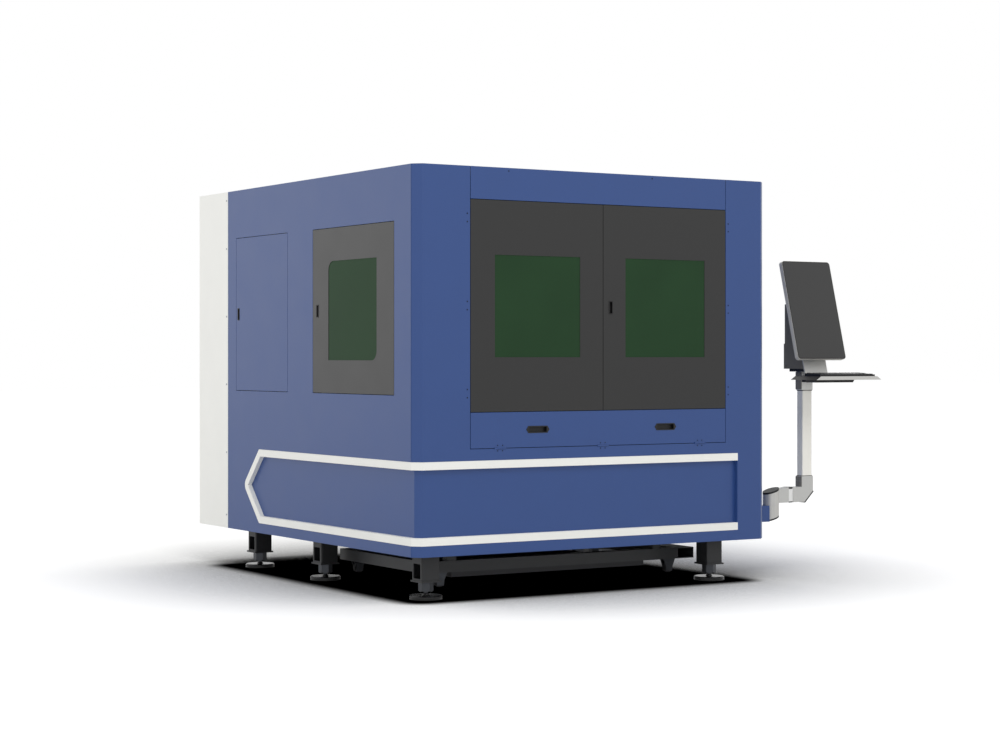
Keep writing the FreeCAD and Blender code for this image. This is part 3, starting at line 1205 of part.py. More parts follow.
def head_carriage():
    """The plate that crosses the gantry, with its blocks, lift rails and lift motor."""
    x0, x1 = CARRIAGE_X - CARRIAGE_WIDTH / 2, CARRIAGE_X + CARRIAGE_WIDTH / 2
    top = BEAM_BOTTOM + BEAM_HEIGHT + BLOCK_LIFT
    front = CARRIAGE_BACK - CARRIAGE_PLATE
    pieces = [block(x0, x1, front, CARRIAGE_BACK, BEAM_BOTTOM, top)]
    for z in BEAM_RAIL_Z:
        for start in (x0, x1 - BLOCK_LENGTH):
            body = block(start, start + BLOCK_LENGTH, CARRIAGE_BACK, BEAM_FRONT - BLOCK_LIFT,
                         z - BEAM_RAIL / 2, z + BEAM_RAIL * 1.5)
            pieces.append(body.cut(block(start - 1, start + BLOCK_LENGTH + 1,
                                         BEAM_FRONT - BEAM_RAIL - SLIDE_FIT, BEAM_FRONT,
                                         z - SLIDE_FIT, z + BEAM_RAIL + SLIDE_FIT)))
    for side in (-1, 1):
        middle = CARRIAGE_X + side * SLIDE_PLATE_WIDTH / 3
        pieces.append(block(middle - BEAM_RAIL / 2, middle + BEAM_RAIL / 2, SLIDE_RAIL_FRONT,
                            front, BEAM_BOTTOM, top))
    half = MOTOR_SIDE / 2
    pieces.append(block(CARRIAGE_X - half, CARRIAGE_X + half, front, front + MOTOR_SIDE,
                        top, top + MOTOR_LENGTH))
    return fuse(pieces)


def cutting_head():
    """The plate that lifts the head, the head's housing and its copper nozzle."""
    half = SLIDE_PLATE_WIDTH / 2
    plate_bottom = HEAD_BOTTOM + HEAD_EDGE
    plate = block(CARRIAGE_X - half, CARRIAGE_X + half, HEAD_BACK, SLIDE_BACK, plate_bottom,
                  plate_bottom + SLIDE_PLATE_HEIGHT)
    up = Vector(0, 0, 1)
    half = HEAD_WIDTH / 2
    middle = HEAD_BACK - HEAD_DEPTH / 2
    body_bottom = HEAD_BOTTOM + HEAD_LIFT
    body = block(CARRIAGE_X - half, CARRIAGE_X + half, HEAD_BACK - HEAD_DEPTH, HEAD_BACK,
                 body_bottom, body_bottom + HEAD_HEIGHT)
    body = body.makeFillet(HEAD_EDGE, upright_edges(body, lambda point: True))
    cone = Part.makeCone(NOZZLE_TOP_RADIUS, half - HEAD_EDGE, HEAD_LIFT,
                         Vector(CARRIAGE_X, middle, HEAD_BOTTOM), up)
    plug = rod(half / 2, HEAD_LIFT, Vector(CARRIAGE_X, middle, body_bottom + HEAD_HEIGHT), up)
    nozzle = Part.makeCone(NOZZLE_TIP_RADIUS, NOZZLE_TOP_RADIUS, NOZZLE_LENGTH,
                           Vector(CARRIAGE_X, middle, NOZZLE_TIP_Z), up)
    beam_path = rod(NOZZLE_BORE, NOZZLE_LENGTH, Vector(CARRIAGE_X, middle, NOZZLE_TIP_Z), up)
    return {"head_slide": plate, "cutting_head": fuse([body, cone, plug]),
            "nozzle": nozzle.cut(beam_path)}


# ---- equipment behind the bulkhead ------------------------------------------------------------
def closed_case(x0, y0, z0, size):
    """A box of folded sheet with rounded upright edges and nothing modelled inside."""
    width, depth, height = size
    case = block(x0, x0 + width, y0, y0 + depth, z0, z0 + height)
    edges = upright_edges(case, lambda middle: middle.y > y0 + 1)
    inside = block(x0 + CASE_WALL, x0 + width - CASE_WALL, y0 + CASE_WALL,
                   y0 + depth - CASE_WALL, z0 + CASE_WALL, z0 + height - CASE_WALL)
    return case.makeFillet(EQUIPMENT_EDGE, edges).cut(inside)


def laser_source():
    """The fiber laser source, a rack unit that stands on the cabinet's floor."""
    return closed_case(SOURCE_LEFT, CABIN_DEPTH + EDGE_RETURN, CABIN_BOTTOM + SHEET, SOURCE_SIZE)


def drive_units():
    """Servo drives and power supplies in a row on the back of the bulkhead."""
    return Part.makeCompound([closed_case(DRIVE_LEFT + number * DRIVE_PITCH, CABIN_DEPTH,
                                          DRIVE_BOTTOM, DRIVE_SIZE)
                              for number in range(DRIVE_COUNT)])


# ---- operator arm ---------------------------------------------------------------------------------
PIVOT_RIM_RISE = PIVOT_RADIUS * math.tan(math.radians(PIVOT_SLOPE))


def pivot_drum(bottom, top, slanted_bottom, slanted_top):
    """A stub of the arm's pivot, with either end cut at a slant that rises to the right."""
    reach = PIVOT_RADIUS + 1
    rise = reach * math.tan(math.radians(PIVOT_SLOPE))
    low = rise if slanted_bottom else 0
    high = rise if slanted_top else 0
    side = prism([(PIVOT_X - reach, ARM_Y - reach, bottom - low),
                  (PIVOT_X + reach, ARM_Y - reach, bottom + low),
                  (PIVOT_X + reach, ARM_Y - reach, top + high),
                  (PIVOT_X - reach, ARM_Y - reach, top - high)], Vector(0, 2 * reach, 0))
    column = rod(PIVOT_RADIUS, top - bottom + 4 * reach,
                 Vector(PIVOT_X, ARM_Y, bottom - 2 * reach), Vector(0, 0, 1))
    return column.common(side)


def arm_bracket():
    """The blue box bracket that carries the arm off the machine's right side."""
    half = ARM_BRACKET_WIDTH / 2
    bracket = block(CABIN_WIDTH, PIVOT_X, ARM_Y - half, ARM_Y + half, ARM_BRACKET_BOTTOM,
                    ARM_BRACKET_BOTTOM + ARM_BRACKET_HEIGHT)
    return bracket.cut(rod(PIVOT_RADIUS, 2 * ARM_BRACKET_HEIGHT,
                           Vector(PIVOT_X, ARM_Y, 0), Vector(0, 0, 1)).translated(
                               Vector(0, 0, ARM_BRACKET_BOTTOM - ARM_BRACKET_HEIGHT / 2)))


def arm_pivot():
    """The fixed lower half of the pivot, with the spindle that the arm turns on."""
    drum = pivot_drum(PIVOT_BOTTOM, PIVOT_SPLIT, True, False)
    spindle = rod(SPINDLE_RADIUS, SPINDLE_RISE + CAP_THICKNESS,
                  Vector(PIVOT_X, ARM_Y, PIVOT_SPLIT - CAP_THICKNESS), Vector(0, 0, 1))
    return fuse([drum, spindle])


def swing_arm():
    """The turning half of the pivot, cast neck, sleeve, elbow and upright mast."""
    bottom = PIVOT_SPLIT + PIVOT_GAP
    drum = pivot_drum(bottom, PIVOT_TOP, False, True)
    socket = rod(SPINDLE_RADIUS + SPINDLE_FIT, SPINDLE_RISE + PIVOT_GAP,
                 Vector(PIVOT_X, ARM_Y, bottom), Vector(0, 0, 1))
    width = Vector(0, ARM_TUBE, 0)
    front = ARM_Y - ARM_TUBE / 2
    rim = PIVOT_X + PIVOT_RADIUS
    neck = prism([(PIVOT_X, front, ARM_BOTTOM), (ARM_NECK_X, front, ARM_BOTTOM),
                  (ARM_NECK_X, front, ARM_TOP), (rim, front, PIVOT_TOP + PIVOT_RIM_RISE),
                  (PIVOT_X, front, PIVOT_TOP)], width)
    waste = ARM_SLEEVE_WASTE
    sleeve = block(ARM_NECK_X, ARM_SLEEVE_X, front + waste, front + ARM_TUBE - waste,
                   ARM_BOTTOM + waste, ARM_TOP - waste)
    left, right = MAST_X - ELBOW_WIDTH / 2, MAST_X + ELBOW_WIDTH / 2
    elbow = prism([(ARM_SLEEVE_X, front, ARM_BOTTOM),
                   (right - ARM_CHAMFER_X, front, ARM_BOTTOM),
                   (right, front, ARM_BOTTOM + ARM_CHAMFER_Z), (right, front, MAST_FOOT),
                   (left, front, MAST_FOOT), (left, front, ARM_TOP),
                   (ARM_SLEEVE_X, front, ARM_TOP)], width)
    mast = mast_block(MAST_WIDTH, MAST_DEPTH, MAST_FOOT, MAST_TOP)
    pin = rod(SPINDLE_RADIUS, SPINDLE_RISE / 2 + CAP_THICKNESS,
              Vector(MAST_X, ARM_Y, MAST_TOP - CAP_THICKNESS), Vector(0, 0, 1))
    return fuse([drum, neck, sleeve, elbow, mast, pin]).cut(socket)


def mast_block(width, depth, bottom, top):
    """An upright box on the mast's axis with rounded upright edges."""
    box = block(MAST_X - width / 2, MAST_X + width / 2, ARM_Y - depth / 2, ARM_Y + depth / 2,
                bottom, top)
    return box.makeFillet(CAP_THICKNESS, upright_edges(box, lambda middle: True))


def arm_covers():
    """Black plastic covers: the pivot's slanted cap and the plate on the elbow's corner."""
    cap = pivot_drum(PIVOT_TOP, PIVOT_TOP + PIVOT_CAP, True, True)
    front = ARM_Y - ARM_TUBE / 2
    right = MAST_X + ELBOW_WIDTH / 2
    slope = math.hypot(ARM_CHAMFER_X, ARM_CHAMFER_Z)
    shift = (ARM_COVER * ARM_CHAMFER_Z / slope, -ARM_COVER * ARM_CHAMFER_X / slope)
    low = (right - ARM_CHAMFER_X, ARM_BOTTOM)
    high = (right, ARM_BOTTOM + ARM_CHAMFER_Z)
    plate = prism([(low[0], front, low[1]), (high[0], front, high[1]),
                   (high[0] + shift[0], front, high[1] + shift[1]),
                   (low[0] + shift[0], front, low[1] + shift[1])], Vector(0, ARM_TUBE, 0))
    return Part.makeCompound([cap, plate])


def tray_support():
    """The swivel collar on the mast, and the leaning front plate of the screen's mount."""
    bottom = MAST_TOP + COLLAR_GAP
    collar = mast_block(ELBOW_WIDTH, ARM_TUBE, bottom, COLLAR_TOP)
    socket = rod(SPINDLE_RADIUS + SPINDLE_FIT, SPINDLE_RISE / 2 + SPINDLE_FIT,
                 Vector(MAST_X, ARM_Y, bottom - COLLAR_GAP), Vector(0, 0, 1))
    neck = leaning_slab(SCREEN_THICKNESS + SCREEN_GAP, NECK_THICKNESS, TRAY_BOTTOM, MOUNT_TOP)
    return Part.makeCompound([collar.cut(socket), neck])


def tray_body(half, front, back, bottom, top):
    """A flat body whose two ends lean in towards the mast's axis."""
    lean_in = TRAY_END_SLOPE * (top - bottom) / TRAY_THICKNESS
    outline = [(-half, bottom), (half, bottom), (half - lean_in, top), (lean_in - half, top)]
    return prism([(MAST_X + x, front, z) for x, z in outline], Vector(0, back - front, 0))


def keyboard_tray():
    """The folded tray the keyboard lies on, its bearer plate, and the tongue to the collar."""
    half = TRAY_WIDTH / 2
    back = TRAY_FRONT_Y + TRAY_LENGTH
    tray = tray_body(half, TRAY_FRONT_Y, back, TRAY_BOTTOM, TRAY_BOTTOM + TRAY_THICKNESS)
    slant = math.hypot(TRAY_END_SLOPE, TRAY_THICKNESS) / TRAY_THICKNESS
    hollow = tray_body(half - TRAY_WALL * slant, TRAY_FRONT_Y + TRAY_WALL, back - TRAY_WALL,
                       TRAY_BOTTOM, TRAY_BOTTOM + TRAY_THICKNESS - TRAY_WALL)
    half = TRAY_SUPPORT_WIDTH / 2
    start, foot = ARM_Y - TRAY_SUPPORT_REACH, TRAY_BOTTOM - TRAY_SUPPORT
    rib = block(MAST_X - half, MAST_X + half, TRAY_FRONT_Y + TRAY_WALL, back - TRAY_WALL,
                TRAY_BOTTOM, TRAY_BOTTOM + TRAY_THICKNESS - TRAY_WALL)
    inner = half - TRAY_SUPPORT_BEVEL
    bearer = prism([(MAST_X - half, start, TRAY_BOTTOM), (MAST_X + half, start, TRAY_BOTTOM),
                    (MAST_X + inner, start, foot), (MAST_X - inner, start, foot)],
                   Vector(0, TRAY_SUPPORT_LENGTH, 0))
    half = ELBOW_WIDTH / 2
    tongue = block(MAST_X - half, MAST_X + half, start, ARM_Y - ARM_TUBE / 2, foot, TRAY_BOTTOM)
    return fuse([tray.cut(hollow), rib, bearer, tongue])


def keyboard():
    """A flat wedge of a keyboard; its keys are added to the finished surface."""
    front = TRAY_FRONT_Y + KEYBOARD_SET_BACK
    base = TRAY_BOTTOM + TRAY_THICKNESS
    half = KEYBOARD_WIDTH / 2
    return prism([(MAST_X - half, front, base), (MAST_X - half, front + KEYBOARD_LENGTH, base),
                  (MAST_X - half, front + KEYBOARD_LENGTH, base + KEYBOARD_BACK_HEIGHT),
                  (MAST_X - half, front, base + KEYBOARD_FRONT_HEIGHT)],
                 Vector(KEYBOARD_WIDTH, 0, 0))


# The screen is laid out upright: y from its glass backwards, z up from its lower edge.
SCREEN_TILT = math.radians(SCREEN_LEAN)
COLUMN_FRONT = SCREEN_THICKNESS + SCREEN_GAP + NECK_THICKNESS
PIVOT_BEHIND = COLUMN_FRONT + LUG_DEPTH
TILT_AXIS = (SCREEN_FRONT_Y + SCREEN_PIVOT_RISE * math.sin(SCREEN_TILT)
             + PIVOT_BEHIND * math.cos(SCREEN_TILT),
             SCREEN_BOTTOM + SCREEN_PIVOT_RISE * math.cos(SCREEN_TILT)
             - PIVOT_BEHIND * math.sin(SCREEN_TILT))


def lean(shape):
    """Tip the upright screen back and put it in its place on the arm."""
    tipped = shape.rotated(Vector(0, 0, 0), Vector(1, 0, 0), -SCREEN_LEAN)
    return tipped.translated(Vector(MAST_X, SCREEN_FRONT_Y, SCREEN_BOTTOM))


def leaning_y(depth, height):
    """How far back a plane lies that is parallel to the glass and a depth behind it."""
    return (SCREEN_FRONT_Y + depth / math.cos(SCREEN_TILT)
            + (height - SCREEN_BOTTOM) * math.tan(SCREEN_TILT))


def leaning_slab(depth, thickness, bottom, top):
    """A slab parallel to the glass, as wide as the mount, between two heights."""
    outline = [(leaning_y(depth, bottom), bottom), (leaning_y(depth, top), top),
               (leaning_y(depth + thickness, top), top),
               (leaning_y(depth + thickness, bottom), bottom)]
    return prism([(MAST_X - MOUNT_WIDTH / 2, y, z) for y, z in outline],
                 Vector(MOUNT_WIDTH, 0, 0))


def mount_body(depth, back, bottom, top, width):
    """A body with a leaning front and an upright back, centred on the mast."""
    outline = [(leaning_y(depth, bottom), bottom), (back, bottom), (back, top),
               (leaning_y(depth, top), top)]
    return prism([(MAST_X - width / 2, y, z) for y, z in outline], Vector(width, 0, 0))


def monitor():
    """The upright screen: a slim case with a thicker back and a hinge lug."""
    half = SCREEN_WIDTH / 2
    rim = SCREEN_EDGE
    case = block(-half, half, 0, rim, 0, SCREEN_LENGTH)
    corners = [edge for edge in case.Edges if edge.BoundBox.YLength > rim / 2]
    case = case.makeFillet(SCREEN_CORNER, corners)
    bulge = block(SCREEN_RIM - half, half - SCREEN_RIM, rim, SCREEN_THICKNESS,
                  SCREEN_RIM, SCREEN_LENGTH - SCREEN_RIM)
    width = LUG_WIDTH / 2
    across = Vector(1, 0, 0)
    start = Vector(-width, PIVOT_BEHIND, SCREEN_PIVOT_RISE)
    lug = rod(2 * TILT_PIN_RADIUS, LUG_WIDTH, start, across)
    web = block(-width, width, SCREEN_THICKNESS, PIVOT_BEHIND,
                SCREEN_PIVOT_RISE - 2 * TILT_PIN_RADIUS, SCREEN_PIVOT_RISE + 2 * TILT_PIN_RADIUS)
    bore = rod(TILT_PIN_RADIUS + TILT_FIT, LUG_WIDTH, start, across)
    return lean(fuse([case, bulge, lug, web]).cut(bore))


def monitor_mount():
    """The box and column behind the screen, with the ears and pin that it tilts on."""
    rear = MOUNT_REAR - COLUMN_STEP
    box = mount_body(COLUMN_FRONT, MOUNT_REAR, MOUNT_BOTTOM, MOUNT_TOP, MOUNT_WIDTH)
    column = mount_body(COLUMN_FRONT, rear, MOUNT_TOP, MOUNT_TOP + COLUMN_HEIGHT, MOUNT_WIDTH)
    plate = mount_body(COLUMN_FRONT, ARM_Y + MOUNT_PLATE_BACK, COLLAR_TOP, MOUNT_BOTTOM,
                       MOUNT_PLATE_WIDTH)
    reach = 4 * TILT_PIN_RADIUS
    hollow_top = TILT_AXIS[1] - reach - MOUNT_WALL
    hollow = mount_body(COLUMN_FRONT + MOUNT_WALL, rear - MOUNT_WALL, MOUNT_BOTTOM, hollow_top,
                        MOUNT_WIDTH - 2 * MOUNT_WALL)
    slot_width = LUG_WIDTH + 2 * LUG_PLAY
    axis = Vector(1, 0, 0)
    slot = rod(reach, slot_width, Vector(MAST_X - slot_width / 2, *TILT_AXIS), axis)
    pin = rod(TILT_PIN_RADIUS, MOUNT_WIDTH, Vector(MAST_X - MOUNT_WIDTH / 2, *TILT_AXIS), axis)
    return fuse([cut(fuse([box, column]), [hollow, slot]), plate, pin])


# ---- writing the parts -------------------------------------------------------------------------
def all_parts():
    parts = {
        "front_panel": front_panel(), "left_panel": left_panel(), "right_panel": right_panel(),
        "header_panel": header_panel(), "roof_panel": roof_panel(),
        "rear_bulkhead": rear_bulkhead(), "rear_cabinet": rear_cabinet(),
        "recess_panel": recess_panel(), "trim_band": trim_band(),
        "enclosure_frame": enclosure_frame(), "hinge_brackets": hinge_brackets(),
        "exhaust_collar": exhaust_collar(), "bed_frame": bed_frame(),
        "transport_frame": transport_frame(), "scrap_tray": scrap_tray(),
        "table_frame": table_frame(), "slats": slats(), "bed_rails": bed_rails(),
        "gantry_beam": gantry_beam(),
        "gantry_blocks": gantry_blocks(), "gantry_motors": gantry_motors(),
        "gantry_rails": gantry_rails(), "head_carriage": head_carriage(),
        "laser_source": laser_source(), "drive_units": drive_units(),
        "arm_bracket": arm_bracket(), "arm_pivot": arm_pivot(), "swing_arm": swing_arm(),
        "arm_covers": arm_covers(), "tray_support": tray_support(),
        "keyboard_tray": keyboard_tray(), "keyboard": keyboard(), "monitor": monitor(),
        "monitor_mount": monitor_mount(),
    }
    for group in (front_doors(), side_doors(), rear_doors(), front_flap(), feet(), castors(),
                  cutting_head()):
        parts.update(group)
    return parts


def row_origin():
    """The point on the floor under the middle of the whole machine."""
    left, right = -FACE_OFFSET, MAST_X + TRAY_WIDTH / 2
    return Vector((left + right) / 2, (TRAY_FRONT_Y + CABINET_BACK + FACE_OFFSET) / 2, 0)


def write_parts():
    os.makedirs("parts", exist_ok=True)
    origin = row_origin()
    for name, shape in all_parts().items():
        shape.translated(-origin).exportStep(os.path.join("parts", name + ".step"))


write_parts()
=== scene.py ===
import bpy
import bmesh
import math
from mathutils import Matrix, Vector


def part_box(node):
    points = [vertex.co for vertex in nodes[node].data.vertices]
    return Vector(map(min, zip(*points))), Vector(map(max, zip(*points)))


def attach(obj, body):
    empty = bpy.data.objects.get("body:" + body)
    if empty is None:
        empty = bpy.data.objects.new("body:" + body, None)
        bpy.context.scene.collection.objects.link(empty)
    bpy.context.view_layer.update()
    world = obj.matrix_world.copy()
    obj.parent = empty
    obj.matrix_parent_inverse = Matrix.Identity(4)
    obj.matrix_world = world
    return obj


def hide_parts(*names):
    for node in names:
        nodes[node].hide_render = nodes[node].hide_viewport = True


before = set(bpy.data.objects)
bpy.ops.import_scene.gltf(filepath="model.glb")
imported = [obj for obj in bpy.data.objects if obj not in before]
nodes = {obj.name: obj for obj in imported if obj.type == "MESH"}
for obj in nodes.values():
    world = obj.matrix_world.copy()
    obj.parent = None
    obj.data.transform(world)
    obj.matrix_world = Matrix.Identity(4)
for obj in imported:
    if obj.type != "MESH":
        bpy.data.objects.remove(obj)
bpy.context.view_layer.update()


# ---- Studio: camera, lamps, white surroundings and floor ----
# The camera stands where the photographer's did, level, 1.18 m up and 10 m off the front
# left corner. The floor is a matt white sweep that keeps the machine's soft shadow, and
# the colour the camera sees on it carries painted shadow as well.
def linear(code):
    """One sRGB hex colour as the linear values that shaders take."""
    out = []
    for start in (0, 2, 4):
        part = int(code[start:start + 2], 16) / 255
        out.append(part / 12.92 if part <= 0.04045 else ((part + 0.055) / 1.055) ** 2.4)
    return (*out, 1.0)


def add(tree, kind, settings=None, links=None):
    """One node in a tree, with its settings by attribute or socket name, and its links."""
    made = tree.nodes.new(kind)
    for key, value in (settings or {}).items():
        if isinstance(key, str) and hasattr(made, key):
            setattr(made, key, value)
        else:
            made.inputs[key].default_value = value
    for key, source in (links or {}).items():
        tree.links.new(source, made.inputs[key])
    return made


def bare_finish(name):
    """A new material with an empty tree, and where each point lies on the object."""
    made = bpy.data.materials.new(name)
    made.use_nodes = True
    tree = made.node_tree
    tree.nodes.clear()
    return made, tree, add(tree, "ShaderNodeTexCoord").outputs["Object"]


CAMERA_PLACE = (-6.39675, -10.03125, 1.176)
CAMERA_AIM = (0.5266, 0.8501)
camera = bpy.data.objects.new("camera", bpy.data.cameras.new("camera"))
camera.location = CAMERA_PLACE
camera.rotation_euler = (math.radians(90), 0, -math.atan2(*CAMERA_AIM))
camera.data.lens = 76.95
camera.data.sensor_width = 36.0
camera.data.shift_y = -0.0185
camera.data.clip_end = 200
bpy.context.scene.collection.objects.link(camera)
bpy.context.scene.camera = camera
bpy.context.scene.view_settings.view_transform = "Standard"

world = bpy.data.worlds.new("studio")
bpy.context.scene.world = world
world.use_nodes = True
sky = world.node_tree
sky.nodes.clear()
sees = add(sky, "ShaderNodeLightPath")
mirror_or_camera = add(sky, "ShaderNodeMath", {"operation": "MAXIMUM"},
                       {0: sees.outputs["Is Camera Ray"], 1: sees.outputs["Is Glossy Ray"]})
any_view = add(sky, "ShaderNodeMath", {"operation": "MAXIMUM"},
               {0: mirror_or_camera.outputs[0], 1: sees.outputs["Is Transmission Ray"]})
strength = add(sky, "ShaderNodeMapRange", {"To Min": 0.80, "To Max": 1.0},
               {"Value": any_view.outputs[0]})
white = add(sky, "ShaderNodeBackground", {"Color": (1, 1, 1, 1)},
            {"Strength": strength.outputs[0]})
add(sky, "ShaderNodeOutputWorld", links={"Surface": white.outputs[0]})

for name, place, aim, size, power in (
        ("key", (-2.5, -7.0, 6.5), (0, 0, 1.0), 4.0, 150),
        ("side", (-5.2, 5.2, 2.2), (-1.4, 0.3, 1.2), 5.0, 34)):
    lamp = bpy.data.lights.new(name, "AREA")
    lamp.energy = power
    lamp.size = size
    holder = bpy.data.objects.new(name, lamp)
    holder.location = place
    holder.visible_camera = False
    holder.rotation_euler = (Vector(aim) - Vector(place)).to_track_quat("-Z", "Y").to_euler()
    bpy.context.scene.collection.objects.link(holder)

# Matt white paint. The colour the camera sees carries painted shadow: it is darkened by
# ambient occlusion near the machine and by two soft rectangles
paint, tree, spot = bare_finish("white_sweep_painted_shadow")
sees = add(tree, "ShaderNodeLightPath")
# Painted shade: ambient occlusion within 1.5 m of each point darkens the floor's colour
painted_occlusion = add(tree, "ShaderNodeAmbientOcclusion", {"Distance": 1.5, "samples": 8})
depth = add(tree, "ShaderNodeMapRange", {"From Min": 0.30, "From Max": 0.98, "To Max": 1.3},
            {"Value": painted_occlusion.outputs["AO"]})
# Painted shadow, where little light reaches the floor: a dark rectangle under the machine,
# which stands 0.2 m above it, and a fainter one behind the cabin's right side, which keeps
# the key lamp off the floor there
side_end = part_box("right_panel")[1]
before_front, inside_right, past_back = 0.005, 0.13, 0.08
lee_width, lee_length = 0.33, 0.62
painted_shadow_low = Vector((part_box("left_panel")[0].x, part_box("front_panel")[0].y - before_front, 0))
painted_shadow_high = side_end + Vector((-inside_right, past_back, 0))
painted_lee_low = Vector((painted_shadow_high.x, side_end.y - lee_length, 0))
painted_lee_high = side_end + Vector((lee_width, past_back, 0))
lit_corner = 0.06
shaded = depth
for low, high, lit_edge, least in ((painted_shadow_low, painted_shadow_high, 0.13, 0.0),
                                   (painted_lee_low, painted_lee_high, 0.35, 0.12)):
    middle = (low + high) / 2
    half = (high - low) / 2 - Vector((lit_corner, lit_corner, 0))
    middle.z, half.z = 0, 1
    # How far a point of the floor lies outside the painted shadow's rectangle, whose corners
    # are round
    offset = add(tree, "ShaderNodeVectorMath", {"operation": "SUBTRACT", 1: middle}, {0: spot})
    folded = add(tree, "ShaderNodeVectorMath", {"operation": "ABSOLUTE"},
                 {0: offset.outputs[0]})
    beyond = add(tree, "ShaderNodeVectorMath", {"operation": "SUBTRACT", 1: half},
                 {0: folded.outputs[0]})
    outside = add(tree, "ShaderNodeVectorMath", {"operation": "MAXIMUM", 1: (0, 0, 0)},
                  {0: beyond.outputs[0]})
    distance = add(tree, "ShaderNodeVectorMath", {"operation": "LENGTH"},
                   {0: outside.outputs[0]})
    reached = add(tree, "ShaderNodeMapRange",
                  {"interpolation_type": "SMOOTHSTEP", "From Min": lit_corner,
                   "From Max": lit_corner + lit_edge, "To Min": least},
                  {"Value": distance.outputs["Value"]})
    shaded = add(tree, "ShaderNodeMath", {"operation": "MULTIPLY"},
                 {0: shaded.outputs[0], 1: reached.outputs[0]})
# Only the camera sees the painted shadow; other rays find a plain 0.8 white
tone = add(tree, "ShaderNodeMix", {"data_type": "FLOAT", "A": 0.8},
           {"Factor": sees.outputs["Is Camera Ray"], "B": shaded.outputs[0]})
grey = add(tree, "ShaderNodeCombineColor", links={"Red": tone.outputs[0],
                                                  "Green": tone.outputs[0],
                                                  "Blue": tone.outputs[0]})
matt = add(tree, "ShaderNodeBsdfDiffuse", links={"Color": grey.outputs[0]})
add(tree, "ShaderNodeOutputMaterial", links={"Surface": matt.outputs[0]})
mesh = bpy.data.meshes.new("floor")
reach, below_soles = 60, 0.0005
mesh.from_pydata([(-reach, -reach, 0), (reach, -reach, 0), (reach, reach, 0),
                  (-reach, reach, 0)], [], [(0, 1, 2, 3)])
mesh.materials.append(paint)
floor = bpy.data.objects.new("floor", mesh)
floor.location.z = -below_soles
bpy.context.scene.collection.objects.link(floor)


# ---- Blue cabin sheets ----
# Laser-cut and folded 2 mm steel sheet, powder coated in one blue: the body round the
# doors, both sides, the roof, the recessed skirt, the drop-down flap and the service door.
def powder_coat(name, colour, roughness, grain_mm=3.0, depth=0.10):
    """Baked powder coat: flat colour, faint orange peel, and gloss that varies a little."""
    made, tree, spot = bare_finish(name)
    # Orange peel has waves of 2 to 4 mm, drawn here at the same size
    peel = add(tree, "ShaderNodeTexNoise", {"Scale": 1000.0 / grain_mm, "Detail": 2.0},
               {"Vector": spot})
    bump = add(tree, "ShaderNodeBump", {"Strength": depth, "Distance": 0.0002},
               {"Height": peel.outputs["Fac"]})
    # Film thickness drifts over about 170 mm and shifts tone and gloss by a few percent
    drift = add(tree, "ShaderNodeTexNoise", {"Scale": 6.0, "Detail": 3.0}, {"Vector": spot})
    tone = add(tree, "ShaderNodeMapRange", {"To Min": 0.97, "To Max": 1.03},
               {"Value": drift.outputs["Fac"]})
    shade = add(tree, "ShaderNodeHueSaturation", {"Color": linear(colour)},
                {"Value": tone.outputs[0]})
    sheen = add(tree, "ShaderNodeMapRange", {"To Min": roughness - 0.04,
                                             "To Max": roughness + 0.05},
                {"Value": drift.outputs["Fac"]})
    skin = add(tree, "ShaderNodeBsdfPrincipled", {"IOR": 1.5},
               {"Base Color": shade.outputs[0], "Roughness": sheen.outputs[0],
                "Normal": bump.outputs[0]})
    add(tree, "ShaderNodeOutputMaterial", links={"Surface": skin.outputs[0]})
    return made


def finish_in(material, *names):
    """Give CAD nodes a material of their own."""
    for name in names:
        for place in nodes[name].material_slots:
            place.material = material


# Semi-gloss polyester powder: the eye sees an even mid blue with a pale sheen at a slant
blue_powder = powder_coat("blue_powder_coat", "2D4B86", 0.36)
finish_in(blue_powder, "front_panel", "left_panel", "right_panel", "header_panel",
          "roof_panel", "recess_panel", "front_flap", "service_door", "arm_bracket")

header_low, header_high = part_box("header_panel")
front_y = header_low.y


# ---- Return flange of the front sheet ----
# The front sheet's 2 mm edge folded back over the inner frame's tube as far as the roof
# sheet, notched where the header has a fold of its own.
def extruded(name, outline, travel, finish, body, bevel=0.0, steps=2):
    """A closed piece: an outline of points in space, pushed along a vector, edges eased."""
    shape = bmesh.new()
    face = shape.faces.new([shape.verts.new(point) for point in outline])
    pushed = bmesh.ops.extrude_face_region(shape, geom=[face])
    moved = [part for part in pushed["geom"] if isinstance(part, bmesh.types.BMVert)]
    bmesh.ops.translate(shape, verts=moved, vec=travel)
    if bevel:
        bmesh.ops.bevel(shape, geom=shape.edges[:], offset=bevel, segments=steps,
                        profile=0.5, affect="EDGES", clamp_overlap=True)
    bmesh.ops.recalc_face_normals(shape, faces=shape.faces[:])
    mesh = bpy.data.meshes.new(name)
    shape.to_mesh(mesh)
    shape.free()
    mesh.materials.append(finish)
    piece = bpy.data.objects.new(name, mesh)
    bpy.context.scene.collection.objects.link(piece)
    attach(piece, body)


roof_low, roof_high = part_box("roof_panel")
sheet_thickness, fit_gap = 0.0020, 0.0003
behind_sheet = header_low.y + sheet_thickness + fit_gap
behind_fold = header_high.y + fit_gap
notch, side_gap, seam_gap = 0.0026, 0.0013, 0.0004
corner_start, corner_run, corner_end = 0.0030, 0.0366, 0.0405
# A hair's breadth, to keep two faces out of one plane or to tell one zone from the next
hair = 0.0002
